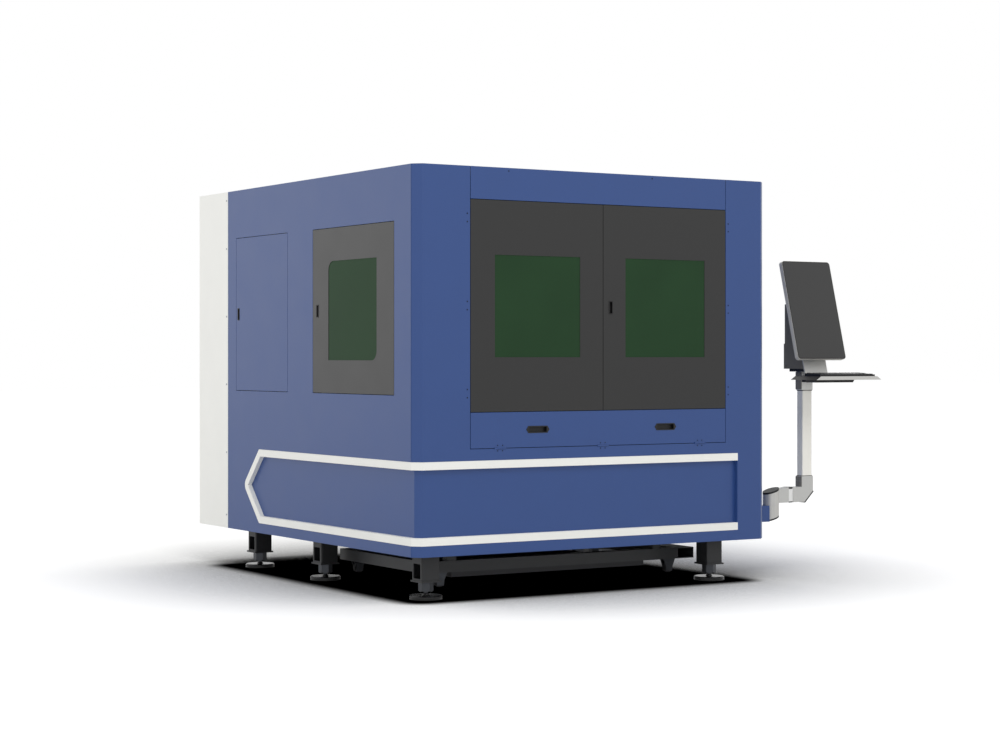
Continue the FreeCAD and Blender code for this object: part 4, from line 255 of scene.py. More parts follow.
# The corners run at 45 degrees, just inside the sheet's own folds
outline = [(roof_low.x + side_gap, roof_low.y - seam_gap),
           (roof_low.x + side_gap, roof_low.y - corner_start),
           (roof_low.x + side_gap + corner_run, roof_low.y - corner_start - corner_run),
           (roof_low.x + corner_end, behind_sheet),
           (header_low.x - notch, behind_sheet), (header_low.x - notch, behind_fold),
           (header_high.x + notch, behind_fold), (header_high.x + notch, behind_sheet),
           (roof_high.x - corner_end, behind_sheet),
           (roof_high.x - side_gap - corner_run, roof_low.y - corner_start - corner_run),
           (roof_high.x - side_gap, roof_low.y - corner_start),
           (roof_high.x - side_gap, roof_low.y - seam_gap)]
extruded("front_sheet_flange", [(x, y, roof_low.z + hair) for x, y in outline],
         (0, 0, roof_high.z - roof_low.z - hair), blue_powder, "machine")


# ---- Screws of the cabin's sheets ----
# Low button-head socket screws, blackened, that hold the header, the doors' hinge plates
# and the flap's hinges, and pale ones in the white cabinet's sides.
def open_tree(name, inputs):
    """A Geometry Nodes tree with a mesh, named values and a finish going in, and those."""
    tree = bpy.data.node_groups.new(name, "GeometryNodeTree")
    face = tree.interface
    face.new_socket("Geometry", in_out="INPUT", socket_type="NodeSocketGeometry")
    for label, kind, value in inputs + (("Finish", "Material", None),):
        socket = face.new_socket(label, in_out="INPUT", socket_type="NodeSocket" + kind)
        if value is not None:
            socket.default_value = value
    face.new_socket("Geometry", in_out="OUTPUT", socket_type="NodeSocketGeometry")
    return tree, add(tree, "NodeGroupInput").outputs


def close_tree(tree, shape, finish):
    """The end of a tree: copies made real, the finish set and the result handed out."""
    real = add(tree, "GeometryNodeRealizeInstances", links={"Geometry": shape})
    dressed = add(tree, "GeometryNodeSetMaterial",
                  links={"Geometry": real.outputs["Geometry"], "Material": finish})
    add(tree, "NodeGroupOutput", links={"Geometry": dressed.outputs["Geometry"]})


def screw_tree(name):
    """A button-head screw on every point of a mesh."""
    tree, given = open_tree(name, (("Head Radius", "Float", 0.005),
                                   ("Head Height", "Float", 0.0014),
                                   ("Socket Radius", "Float", 0.002),
                                   ("Facing", "Vector", None)))
    # The head is a low cone, with a hexagon socket cut down to its floor
    rim_share, socket_floor, socket_length = 0.72, 0.0005, 0.010
    rim = add(tree, "ShaderNodeMath", {"operation": "MULTIPLY", 1: rim_share},
              {0: given["Head Radius"]})
    head = add(tree, "GeometryNodeMeshCone", {"Vertices": 18},
               {"Radius Bottom": given["Head Radius"], "Radius Top": rim.outputs[0],
                "Depth": given["Head Height"]})
    socket = add(tree, "GeometryNodeMeshCylinder", {"Vertices": 6, "Depth": socket_length},
                 {"Radius": given["Socket Radius"]})
    lift = add(tree, "ShaderNodeCombineXYZ", {"Z": socket_floor + socket_length / 2})
    raised = add(tree, "GeometryNodeTransform",
                 links={"Geometry": socket.outputs["Mesh"], "Translation": lift.outputs[0]})
    screw = add(tree, "GeometryNodeMeshBoolean", {"operation": "DIFFERENCE"},
                {"Mesh 1": head.outputs["Mesh"], "Mesh 2": raised.outputs["Geometry"]})
    turn = add(tree, "FunctionNodeEulerToRotation", links={"Euler": given["Facing"]})
    spread = add(tree, "GeometryNodeInstanceOnPoints",
                 links={"Points": given["Geometry"], "Instance": screw.outputs["Mesh"],
                        "Rotation": turn.outputs[0]})
    close_tree(tree, spread.outputs["Instances"], given["Finish"])
    return tree


def run_tree(tree, carrier, values):
    """Run a tree on an object and keep what it makes as the object's own plain mesh."""
    modifier = carrier.modifiers.new("made", "NODES")
    modifier.node_group = tree
    for item in tree.interface.items_tree:
        if item.in_out == "INPUT" and item.name in values:
            modifier[item.identifier] = values[item.name]
    look = bpy.context.evaluated_depsgraph_get()
    result = bpy.data.meshes.new_from_object(carrier.evaluated_get(look))
    carrier.modifiers.remove(modifier)
    carrier.data = result
    result.name = carrier.name


def made_by(tree, name, points, values, body, edges=()):
    """A piece that a tree makes from a few points, riding on a body."""
    seed = bpy.data.meshes.new(name + "_points")
    seed.from_pydata([tuple(point) for point in points], list(edges), [])
    carrier = bpy.data.objects.new(name, seed)
    bpy.context.scene.collection.objects.link(carrier)
    run_tree(tree, carrier, values)
    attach(carrier, body)


def metal(name, colour, roughness, streak=(1.0, 1.0, 1.0), grain_mm=2.5, strength=0.05,
          metallic=1.0, tone=0.04):
    """Bare or plated metal whose grain is drawn out along an axis and shifts its tone."""
    made, tree, spot = bare_finish(name)
    # A scale under 1 along an axis draws the grain out into lines that way
    turned = add(tree, "ShaderNodeMapping", {"Scale": streak}, {"Vector": spot})
    lines = add(tree, "ShaderNodeTexNoise", {"Scale": 1000.0 / grain_mm, "Detail": 3.0},
                {"Vector": turned.outputs[0]})
    rough = add(tree, "ShaderNodeMapRange", {"To Min": roughness - 0.07,
                                             "To Max": roughness + 0.08},
                {"Value": lines.outputs["Fac"]})
    bump = add(tree, "ShaderNodeBump", {"Strength": strength, "Distance": 0.0002},
               {"Height": lines.outputs["Fac"]})
    shift = add(tree, "ShaderNodeMapRange", {"To Min": 1.0 - tone, "To Max": 1.0 + tone},
                {"Value": lines.outputs["Fac"]})
    shade = add(tree, "ShaderNodeHueSaturation", {"Color": linear(colour)},
                {"Value": shift.outputs[0]})
    skin = add(tree, "ShaderNodeBsdfPrincipled", {"Metallic": metallic},
               {"Base Color": shade.outputs[0], "Roughness": rough.outputs[0],
                "Normal": bump.outputs[0]})
    add(tree, "ShaderNodeOutputMaterial", links={"Surface": skin.outputs[0]})
    return made


# Black oxide on steel: a dark dot with a dull glint
black_oxide = metal("black_oxide_screws", "2B2D33", 0.42)
# Bright zinc on steel: cool, pale and slightly cloudy
zinc_plate = metal("zinc_plated_steel", "A9ADB3", 0.36, grain_mm=8.3)

FACE_FRONT = (math.radians(90), 0, 0)
FACE_LEFT = (math.radians(90), 0, math.radians(-90))
FACE_RIGHT = (math.radians(90), 0, math.radians(90))
screws = screw_tree("button_head_screws")

# Two at each hinge plate of the front doors, and two through the header
door_low, door_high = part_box("front_door_left")
hinge_edge, hinge_half, beside = 0.090, 0.020, 0.019
HINGE_ROWS = (door_low.z + hinge_edge, (door_low.z + door_high.z) / 2,
              door_high.z - hinge_edge)
HEADER_SCREWS, header_edge = (0.218, 1.081), 0.015
# The heads' undersides are this far off the sheet
stand_off = 0.0006
seat = front_y - stand_off
spots = []
for edge, side in ((header_low.x, -1), (header_high.x, 1)):
    for row in HINGE_ROWS:
        for step in (-hinge_half, hinge_half):
            spots.append((edge + side * beside, seat, row + step))
for x in HEADER_SCREWS:
    spots.append((header_low.x + x, seat, header_high.z - header_edge))
screw_sizes = {"Head Radius": 0.0034, "Head Height": 0.0013, "Socket Radius": 0.0015,
               "Facing": FACE_FRONT, "Finish": black_oxide}
made_by(screws, "front_panel_screws", spots, screw_sizes, "machine")

# Two under and two over the knuckle of each of the flap's three hinges
flap_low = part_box("front_flap")[0]
hinge_inset = 0.1675
HINGES_X = (header_low.x + hinge_inset, (header_low.x + header_high.x) / 2,
            header_high.x - hinge_inset)
across, below, above = 0.014, 0.008, 0.019
sill, leaf = [], []
for x in HINGES_X:
    for step in (-across, across):
        sill.append((x + step, seat, flap_low.z - below))
        leaf.append((x + step, seat, flap_low.z + above))
small = dict(screw_sizes, **{"Head Radius": 0.003, "Socket Radius": 0.0012,
                             "Head Height": 0.0012})
made_by(screws, "flap_hinge_screws_sill", sill, small, "machine")
made_by(screws, "flap_hinge_screws_leaf", leaf, small, "front_flap")


# ---- White trim band ----
# One folded and welded channel of 2 mm steel, powder coated white, round the recessed
# skirt: two straight arms that meet in an arrow on the left side.
# White polyester powder: warm white, slightly glossy, soft edges
white_powder = powder_coat("white_powder_coat", "F8F8F3", 0.35)
finish_in(white_powder, "trim_band")


# ---- Front and side window doors ----
# Pans folded from 2 mm sheet on concealed hinges, powder coated dark grey. Each holds a
# green acrylic pane that stops the laser's light, and two have a moulded flush pull.
# Dark grey polyester powder: neutral, even, with the same pale sheen at a slant
grey_powder = powder_coat("dark_grey_powder_coat", "242424", 0.36)
finish_in(grey_powder, "front_door_left", "front_door_right", "side_door")


def moulded(name, colour, roughness, grain_mm=0.6, depth=0.25, ior=1.5):
    """Injection-moulded plastic with a fine spark-eroded grain."""
    made, tree, spot = bare_finish(name)
    # Mould grain is about 0.1 mm; it is drawn coarser so that it shows up close
    grain = add(tree, "ShaderNodeTexVoronoi", {"Scale": 1000.0 / grain_mm}, {"Vector": spot})
    bump = add(tree, "ShaderNodeBump", {"Strength": depth, "Distance": 0.0001},
               {"Height": grain.outputs["Distance"]})
    # Gloss differs between patches of about 40 mm, where the melt met or the mould cooled
    patch = add(tree, "ShaderNodeTexNoise", {"Scale": 25.0, "Detail": 2.0}, {"Vector": spot})
    sheen = add(tree, "ShaderNodeMapRange", {"To Min": roughness - 0.05,
                                             "To Max": roughness + 0.05},
                {"Value": patch.outputs["Fac"]})
    skin = add(tree, "ShaderNodeBsdfPrincipled", {"Base Color": linear(colour), "IOR": ior},
               {"Roughness": sheen.outputs[0], "Normal": bump.outputs[0]})
    add(tree, "ShaderNodeOutputMaterial", links={"Surface": skin.outputs[0]})
    return made


# Cast acrylic dyed deep green: clear gloss over a dark, barely see-through body
pane_green, tree, spot = bare_finish("green_laser_acrylic")
# Cast sheet is wavy over a quarter of a metre
ripple = add(tree, "ShaderNodeTexNoise", {"Scale": 4.0, "Detail": 1.0}, {"Vector": spot})
# A mix of colours takes them in its sockets 6 and 7 and gives the result as its third
tint = add(tree, "ShaderNodeMix", {"data_type": "RGBA", 6: linear("2A432D"),
                                   7: linear("2E4A31")},
           {0: ripple.outputs["Fac"]})
gloss = add(tree, "ShaderNodeMapRange", {"To Min": 0.10, "To Max": 0.16},
            {"Value": ripple.outputs["Fac"]})
# Painted reflection: a sheen tinted green makes the pane look greener and brighter at a slant
acrylic = add(tree, "ShaderNodeBsdfPrincipled", {"IOR": 1.49, "Specular IOR Level": 0.02,
                                                 "Transmission Weight": 0.08,
                                                 "Sheen Weight": 0.08,
                                                 "Sheen Roughness": 0.30,
                                                 "Sheen Tint": linear("10A838")},
              {"Base Color": tint.outputs[2], "Roughness": gloss.outputs[0]})
add(tree, "ShaderNodeOutputMaterial", links={"Surface": acrylic.outputs[0]})
finish_in(pane_green, "front_window_left", "front_window_right", "side_window")

# Glass-filled nylon, moulded: near black, matt
black_nylon = moulded("black_moulded_nylon", "0B0B0D", 0.50)
finish_in(black_nylon, "front_door_pull", "side_door_pull", "service_door_pull",
          "rear_door_pull", "flap_pulls", "arm_covers")
finish_in(zinc_plate, "hinge_brackets", "rear_bulkhead", "exhaust_collar")


# ---- Door seals ----
# Black sponge rubber strips glued inside the folded edges of both front doors, which close
# on the jamb and keep light and smoke in.
def seal_tree(name):
    """A round strip swept along the edges of a mesh."""
    tree, given = open_tree(name, (("Strip Radius", "Float", 0.004),))
    line = add(tree, "GeometryNodeMeshToCurve", links={"Mesh": given["Geometry"]})
    ring = add(tree, "GeometryNodeCurvePrimitiveCircle", {"Resolution": 10},
               {"Radius": given["Strip Radius"]})
    swept = add(tree, "GeometryNodeCurveToMesh", {"Fill Caps": True},
                {"Curve": line.outputs["Curve"], "Profile Curve": ring.outputs["Curve"]})
    close_tree(tree, swept.outputs["Mesh"], given["Finish"])
    return tree


# EPDM sponge: dull black with open skin
sponge_rubber = moulded("black_sponge_rubber", "101011", 0.85, grain_mm=1.5, depth=0.5)
seals = seal_tree("door_seal_strips")
# The strip runs round the pan's four corners, just inside its folded edge
LOOP = ((0, 1), (1, 2), (2, 3), (3, 0))
seal_radius, seal_inset, pan_edge = 0.0035, 0.0045, 0.0235
for door, left, right in (
        ("front_door_left", header_low.x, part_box("front_door_left")[1].x),
        ("front_door_right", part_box("front_door_right")[0].x, header_high.x)):
    low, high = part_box(door)
    corners = [(x, front_y + pan_edge, z)
               for x, z in ((left + seal_inset, low.z + seal_inset),
                            (right - seal_inset, low.z + seal_inset),
                            (right - seal_inset, high.z - seal_inset),
                            (left + seal_inset, high.z - seal_inset))]
    made_by(seals, door + "_seal", corners,
            {"Strip Radius": seal_radius, "Finish": sponge_rubber}, door,
            edges=LOOP)


# ---- White equipment cabinet ----
# A folded steel shell bolted behind the cabin, powder coated white, with two doors in its
# back for the laser source and the drives. Zinc-plated screws hold it to the cabin's sides.
finish_in(white_powder, "rear_cabinet")
cabinet_low, cabinet_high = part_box("rear_cabinet")
pale = dict(screw_sizes, **{"Facing": FACE_LEFT, "Finish": zinc_plate,
                            "Head Radius": 0.0055, "Socket Radius": 0.0024,
                            "Head Height": 0.0014})
SCREW_ROWS, screw_edge = (0.288, 0.638, 1.02, 1.40, 1.78, 2.05), 0.016
for side, x, facing in (("left", cabinet_low.x - stand_off, FACE_LEFT),
                        ("right", cabinet_high.x + stand_off, FACE_RIGHT)):
    made_by(screws, "cabinet_screws_" + side,
            [(x, cabinet_low.y + screw_edge, z) for z in SCREW_ROWS],
            dict(pale, Facing=facing), "machine")


# ---- Vent slots of the cabinet's doors ----
# Obround slots punched through each door's 2 mm sheet in a high and a low field, for the
# air that cools the laser source, with a dark filter mat clipped behind each field.
def joined_copy(node, name, finishes):
    """A copy of a CAD node in its own materials, and its mesh with loose faces joined."""
    piece = bpy.data.objects.new(name, nodes[node].data.copy())
    bpy.context.scene.collection.objects.link(piece)
    piece.data.materials.clear()
    for finish in finishes:
        piece.data.materials.append(finish)
    shape = bmesh.new()
    shape.from_mesh(piece.data)
    bmesh.ops.remove_doubles(shape, verts=shape.verts[:], dist=0.00001)
    return piece, shape


def box_outline(x0, x1, y0, y1, z):
    """A level rectangle's four corners."""
    return [(x0, y0, z), (x1, y0, z), (x1, y1, z), (x0, y1, z)]


def punch_tree(name):
    """Cut an obround slot, long across X, through a mesh at each of its loose points."""
    tree, given = open_tree(name, (("End Radius", "Float", 0.0035),
                                   ("Straight Length", "Float", 0.150)))
    punch_length = 0.02
    # The points that mark the slots have no face beside them
    beside = add(tree, "GeometryNodeInputMeshVertexNeighbors")
    loose = add(tree, "ShaderNodeMath", {"operation": "LESS_THAN", 1: 0.5},
                {0: beside.outputs["Face Count"]})
    parted = add(tree, "GeometryNodeSeparateGeometry", {"domain": "POINT"},
                 {"Geometry": given["Geometry"], "Selection": loose.outputs[0]})
    # A round drum whose halves are pulled apart makes an obround punch
    drum = add(tree, "GeometryNodeMeshCylinder", {"Vertices": 16, "Depth": punch_length},
               {"Radius": given["End Radius"]})
    corner = add(tree, "GeometryNodeInputPosition")
    along = add(tree, "ShaderNodeSeparateXYZ", links={0: corner.outputs[0]})
    end = add(tree, "ShaderNodeMath", {"operation": "SIGN"}, {0: along.outputs["X"]})
    half = add(tree, "ShaderNodeMath", {"operation": "MULTIPLY", 1: 0.5},
               {0: given["Straight Length"]})
    pull = add(tree, "ShaderNodeMath", {"operation": "MULTIPLY"},
               {0: end.outputs[0], 1: half.outputs[0]})
    apart = add(tree, "ShaderNodeCombineXYZ", links={"X": pull.outputs[0]})
    punch = add(tree, "GeometryNodeSetPosition",
                links={"Geometry": drum.outputs["Mesh"], "Offset": apart.outputs[0]})
    # It is laid level, to go through the sheet from back to front
    level = add(tree, "FunctionNodeEulerToRotation", {"Euler": (math.radians(90), 0, 0)})
    spread = add(tree, "GeometryNodeInstanceOnPoints",
                 links={"Points": parted.outputs["Selection"],
                        "Instance": punch.outputs["Geometry"],
                        "Rotation": level.outputs[0]})
    punches = add(tree, "GeometryNodeRealizeInstances",
                  links={"Geometry": spread.outputs["Instances"]})
    cut = add(tree, "GeometryNodeMeshBoolean", {"operation": "DIFFERENCE"},
              {"Mesh 1": parted.outputs["Inverted"], "Mesh 2": punches.outputs["Geometry"]})
    close_tree(tree, cut.outputs["Mesh"], given["Finish"])
    return tree


# Needled polyester fleece: dark grey, dull, with a felted surface
filter_fleece = moulded("needled_filter_fleece", "303236", 0.95, grain_mm=3.0, depth=0.8)
punching = punch_tree("punched_vent_slots")
# Two columns of slots, each side of the door's middle, in each field
SLOT_COLUMNS, SLOT_ROWS = (-0.095, 0.095), 12
slot_pitch, field_inset = 0.020, 0.230
mat_half_wide, mat_half_high, mat_depth = 0.200, 0.135, 0.006
for door in ("rear_door_left", "rear_door_right"):
    low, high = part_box(door)
    across = (low.x + high.x) / 2
    piece, shape = joined_copy(door, door + "_slotted", (white_powder,))
    sheet_back = high.y - sheet_thickness
    for label, field in (("low", low.z + field_inset), ("high", high.z - field_inset)):
        for column in SLOT_COLUMNS:
            for row in range(SLOT_ROWS):
                up = (row - (SLOT_ROWS - 1) / 2) * slot_pitch
                shape.verts.new((across + column, high.y, field + up))
        extruded(door + "_filter_" + label,
                 box_outline(across - mat_half_wide, across + mat_half_wide,
                             sheet_back - mat_depth, sheet_back - hair,
                             field - mat_half_high),
                 (0, 0, 2 * mat_half_high), filter_fleece, door, bevel=0.001)
    shape.to_mesh(piece.data)
    shape.free()
    run_tree(punching, piece, {"Finish": white_powder})
    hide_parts(door)
    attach(piece, door)


# ---- Welded bed, transport frame and inner frame ----
# Square steel tube, welded and painted dark grey: six legs, long and cross beams, the ring
# that carries the castors, the tray under it and the cabin's own light frame.
# Air-dried machine enamel over mill steel: charcoal, half matt, slightly uneven
dark_enamel = powder_coat("charcoal_machine_enamel", "303133", 0.45, grain_mm=5.0, depth=0.16)
finish_in(dark_enamel, "transport_frame", "table_frame", "enclosure_frame")
# The same enamel, made darker on the bed and its legs: painted shade for the dark under the
# machine
leg_enamel_painted_shade = powder_coat("black_bed_enamel_painted_shade", "1D1E20", 0.48, grain_mm=5.0, depth=0.16)
finish_in(leg_enamel_painted_shade, "bed_frame")
# The same enamel on the folded tray, dulled by dust and scale
tray_enamel = powder_coat("dusty_tray_enamel", "26272A", 0.60, grain_mm=5.0, depth=0.16)
finish_in(tray_enamel, "scrap_tray")


# ---- Levelling feet and castors ----
# Cast pads, studs and long hexagon nuts of blackened steel; small rubber castors in
# pressed forks for moving the machine.
# Cast iron pad in black enamel: a soft mirror of the bright floor at a slant
cast_pad = powder_coat("black_gloss_enamel", "0C0C0D", 0.26, grain_mm=6.0, depth=0.03)
# Blackened steel: dark grey with a dull metal glint on its edges
dark_steel = metal("blackened_steel", "4A4C50", 0.40, grain_mm=6.7)
finish_in(cast_pad, "foot_pads")
finish_in(dark_steel, "foot_nuts", "foot_studs", "castor_forks")
# Solid rubber tyre: dull charcoal
tyre_rubber = moulded("moulded_tyre_rubber", "17171A", 0.75, grain_mm=2.0, depth=0.4)
for name in nodes:
    if name.startswith("castor_wheel_"):
        finish_in(tyre_rubber, name)


# ---- Slatted table, rails and gantry ----
# Saw-toothed slats cut from mild steel stand in slotted bars; ground rails and racks lie
# on the bed, and a machined aluminium beam carries the cutting head across.
# Laser-cut mild steel: mid grey with a vertical cut grain
cut_steel = metal("laser_cut_mild_steel", "7C7F84", 0.45, streak=(8.0, 8.0, 0.6), grain_mm=11.0)
# Ground and hardened steel: bright with fine lines along the rail
ground_steel = metal("ground_rail_steel", "B4B8BD", 0.25, streak=(1.0, 0.05, 1.0),
                     grain_mm=2.0)
# Milled and clear anodised aluminium: pale satin
milled_aluminium = metal("clear_anodised_aluminium", "C3C6CA", 0.40, streak=(0.1, 1.0, 1.0),
                         grain_mm=3.3)
# Black anodised aluminium: near black with a soft metal highlight
black_anodised = metal("black_anodised_aluminium", "1B1B1E", 0.45, grain_mm=3.3)
# Turned copper: warm, bright, with fine rings
turned_copper = metal("turned_copper", "C98A5B", 0.28, streak=(1.0, 1.0, 6.0), grain_mm=3.3)
# Wrinkled black motor paint: deep, with short broken highlights
motor_black = powder_coat("black_motor_paint", "161618", 0.42, grain_mm=1.5, depth=0.3)
finish_in(cut_steel, "slats")
finish_in(ground_steel, "bed_rails", "gantry_rails", "gantry_blocks")
finish_in(milled_aluminium, "gantry_beam", "head_carriage", "head_slide")
finish_in(black_anodised, "cutting_head")
finish_in(turned_copper, "nozzle")
finish_in(motor_black, "gantry_motors")


# ---- Laser source and servo drives ----
# Bought-in units behind the bulkhead: a pale rack case on the cabinet's floor and a row
# of black-cased drives screwed to the sheet.
# Pale grey case paint: smooth, a shade darker than the cabinet round it
case_white = powder_coat("pale_grey_case_paint", "DADBD8", 0.38, grain_mm=2.0)
# Glass-filled polyamide housings: black, matt, finely grained
drive_black = moulded("black_drive_housing", "1D1E21", 0.48)
finish_in(case_white, "laser_source")
finish_in(drive_black, "drive_units")


# ---- Operator arm ----
# Cast and extruded aluminium sections, sprayed or anodised silver, that swing on a two-part
# drum and carry the tray and the screen; moulded covers close the ends and blind faces.
# Cast aluminium, sprayed silver: soft grey with a faint metallic grain
cast_silver = metal("silver_sprayed_casting", "C7C7C4", 0.50, grain_mm=1.4, strength=0.04,
                    metallic=0.1)
# Extruded and satin anodised: lighter, with fine lines along the mast
mast_silver = metal("satin_anodised_extrusion", "FBF9F1", 0.48, streak=(1.0, 1.0, 0.08),
                    grain_mm=2.0, strength=0.03, metallic=0.1)
# Turned and clear anodised: mirrors its surroundings, and upright light and dark bands in its
# colour add painted reflection
turned_silver = metal("turned_anodised_aluminium", "CAC9C5", 0.45, streak=(1.0, 1.0, 0.05),
                      grain_mm=9.1, strength=0.05, metallic=0.45, tone=0.14)
# Milled and polished: the brightest piece of the arm
sleeve_silver = metal("polished_anodised_sleeve", "F1F1EF", 0.38, grain_mm=1.7, strength=0.02,
                      metallic=0.05)
# The collar is the same casting, blasted finer; its paler colour is painted light that makes
# up for the tray's shadow on it
collar_painted_light = metal("fine_casting_painted_light", "E8E8E5", 0.50, grain_mm=1.1, strength=0.03,
                      metallic=0.1)
arm_low, arm_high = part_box("swing_arm")
arm_y = (arm_low.y + arm_high.y) / 2
pivot_low, pivot_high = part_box("arm_pivot")
pivot_x = (pivot_low.x + pivot_high.x) / 2
pivot_radius = (pivot_high.x - pivot_low.x) / 2
support_low, support_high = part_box("tray_support")
mast_x = (support_low.x + support_high.x) / 2
arm_half_wide, arm_half_tall, elbow_half, elbow_rise = 0.026, 0.041, 0.039, 0.058
arm_under, arm_over = pivot_high.z - arm_half_tall, pivot_high.z + arm_half_tall
mast_foot = arm_over + elbow_rise
elbow_left = mast_x - elbow_half
sleeve_to_mast, sleeve_length = 0.100, 0.030
sleeve_right = mast_x - sleeve_to_mast
sleeve_left = sleeve_right - sleeve_length
collar_low, collar_high = support_low.z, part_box("monitor_mount")[0].z
plate_rise = 0.002


def skin(node, finishes, choose, body, slot):
    """A copy of a CAD node with its loose faces joined and a finish chosen for each."""
    piece, shape = joined_copy(node, node + "_skin", finishes)
    for face in shape.faces:
        face.material_index = choose(face.calc_center_median(), face.normal)
    shape.to_mesh(piece.data)
    shape.free()
    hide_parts(node)
    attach(piece, body)


def arm_zone(middle, normal):
    """0 for castings, 1 for the mast, 2 for the drum and 3 for the sleeve."""
    if middle.z > mast_foot + hair:
        return 1
    if math.hypot(middle.x - pivot_x, middle.y - arm_y) < pivot_radius + hair:
        return 2
    return 3 if sleeve_left + hair < middle.x < sleeve_right - hair else 0


def support_zone(middle, normal):
    """1 for the plate that stands on the collar."""
    return 1 if middle.z > collar_high + plate_rise else 0


skin("swing_arm", (cast_silver, mast_silver, turned_silver, sleeve_silver), arm_zone, "arm",
     "arm_paint")
skin("tray_support", (collar_painted_light, cast_silver), support_zone, "tray", "arm_paint")
finish_in(turned_silver, "arm_pivot")


# Blind faces of the elbow and the collar, towards the cabin, in a greyer plastic
grey_nylon = moulded("dark_grey_moulded_nylon", "828079", 0.50)
plate, lip, foot_lip, side_lip = 0.003, 0.003, 0.002, 0.001
half = arm_half_wide - side_lip
for name, low, high, body in (("elbow_cover", arm_over + foot_lip, mast_foot - lip, "arm"),
                              ("collar_cover", collar_low + lip, collar_high - lip, "tray")):
    extruded(name, box_outline(elbow_left - plate, elbow_left + hair, arm_y - half,
                               arm_y + half, low),
             (0, 0, high - low), grey_nylon, body, bevel=0.001)
# Caps that close the sleeve's clamp slot, above and below
cap_side, cap_left, cap_right, cap_proud = 0.0015, 0.001, 0.003, 0.001
top_sunk, bottom_sunk = 0.009, 0.005
half = arm_half_wide - cap_side
for name, low, high in (("sleeve_cap_top", arm_over - top_sunk, arm_over + cap_proud),
                        ("sleeve_cap_bottom", arm_under - cap_proud,
                         arm_under + bottom_sunk)):
    extruded(name, box_outline(sleeve_left + cap_left, sleeve_right - cap_right, arm_y - half,
                               arm_y + half, low),
             (0, 0, high - low), black_nylon, "arm", bevel=0.0015)
# Black plastic rings where the mast enters the elbow and the collar
ring_x, ring_y, foot_ring_top = 0.0345, 0.0250, 0.003
top_ring_low, top_ring_high = 0.0045, 0.0006
for name, low, high in (
        ("mast_foot_ring", mast_foot - hair, mast_foot + foot_ring_top),
        ("mast_top_ring", collar_low - top_ring_low, collar_low - top_ring_high)):
    extruded(name, box_outline(mast_x - ring_x, mast_x + ring_x, arm_y - ring_y,
                               arm_y + ring_y, low),
             (0, 0, high - low), black_nylon, "arm", bevel=0.0012)
# The drum's lower cap, cut at the same slant as its end
slope = math.tan(math.radians(18))
cap_radius, cap_thickness, cap_lap, drum_height = 0.0444, 0.009, 0.007, 0.124
drum_end = pivot_high.z - drum_height
CAP_SIDES = 64
around = [math.tau * step / CAP_SIDES for step in range(CAP_SIDES)]
extruded("drum_lower_cap",
         [(pivot_x + cap_radius * math.cos(turn), arm_y + cap_radius * math.sin(turn),
           drum_end + cap_radius * math.cos(turn) * slope + cap_lap - cap_thickness)
          for turn in around],
         (0, 0, cap_thickness), black_nylon, "machine", bevel=0.0008,
         steps=1)
# Two small pale screws through the elbow's cover
screw_out, screw_up = 0.014, 0.0305
made_by(screws, "elbow_cover_screws",
        [(elbow_left - plate + hair, arm_y + side * screw_out, arm_over + screw_up)
         for side in (-1, 1)],
        dict(pale, **{"Head Radius": 0.0026, "Socket Radius": 0.0012}), "arm")


# ---- Keyboard tray ----
# Folded 3 mm steel, powder coated black, with a bright extruded strip as its front edge.
# Black powder coat: deep, slightly glossy
tray_black = powder_coat("black_powder_coat", "121214", 0.42)
# Extruded strip, brushed along its length
strip_silver = metal("brushed_aluminium_strip", "CCCBC8", 0.42, streak=(0.06, 1.0, 1.0),
                     grain_mm=2.0, strength=0.03, metallic=0.5)
tray_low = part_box("keyboard_tray")[0]
strip_up, strip_depth = 0.015, 0.0005


def tray_zone(middle, normal):
    """1 on the tray's front face, where the bright strip is pressed on."""
    front = middle.y < tray_low.y + strip_depth and normal.y < -0.5
    return 1 if front and middle.z > tray_low.z + strip_up else 0


skin("keyboard_tray", (tray_black, strip_silver), tray_zone, "tray", "tray_paint")


# ---- Keyboard ----
# A low moulded wedge with six rows of flat keys, case and keys in black plastic. Every
# key is moulded singly and tapers a little towards its top.
# ABS, moulded with a fine grain: black with soft, wide highlights
case_plastic = moulded("black_abs_case", "0E0E10", 0.50)
# Keys worn a little smoother than the case by fingers
key_plastic = moulded("black_abs_keys", "17171A", 0.36, grain_mm=1.0, depth=0.12)
finish_in(case_plastic, "keyboard")
board_low, board_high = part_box("keyboard")
# Keys are counted in widths of a letter key, and the back row stands a quarter further off
side_margin, end_margin = 0.007, 0.006
UNITS_ACROSS, UNITS_DEEP, ROW_GAP, BLOCK_START = 18.25, 6.25, 0.25, 15.25
unit = (board_high.x - board_low.x - 2 * side_margin) / UNITS_ACROSS
pitch = (board_high.y - board_low.y - 2 * end_margin) / UNITS_DEEP
front_rise, back_rise = 0.009, 0.016
tilt = math.atan2(back_rise - front_rise, board_high.y - board_low.y)
# Each row's key widths, where a negative one is a gap, then the block at the right
MAIN = ((1, -1, 1, 1, 1, 1, -0.5, 1, 1, 1, 1, -0.5, 1, 1, 1, 1),
        (1,) * 13 + (2,), (1.5,) + (1,) * 12 + (1.5,), (1.75,) + (1,) * 11 + (2.25,),
        (2.25,) + (1,) * 10 + (2.75,), (1.25,) * 3 + (6.25,) + (1.25,) * 4)
keys = []
for row, widths in enumerate(MAIN):
    start = 0.0
    for width in widths:
        if width > 0:
            keys.append((start, row, width))
        start += abs(width)
for row, first, count in ((0, 0, 3), (1, 0, 3), (2, 0, 3), (4, 1, 1), (5, 0, 3)):
    keys += [(BLOCK_START + first + step, row, 1) for step in range(count)]

tree, given = open_tree("key_caps", (("Board Tilt", "Vector", None),
                                     ("Top Inset", "Float", 0.0014)))
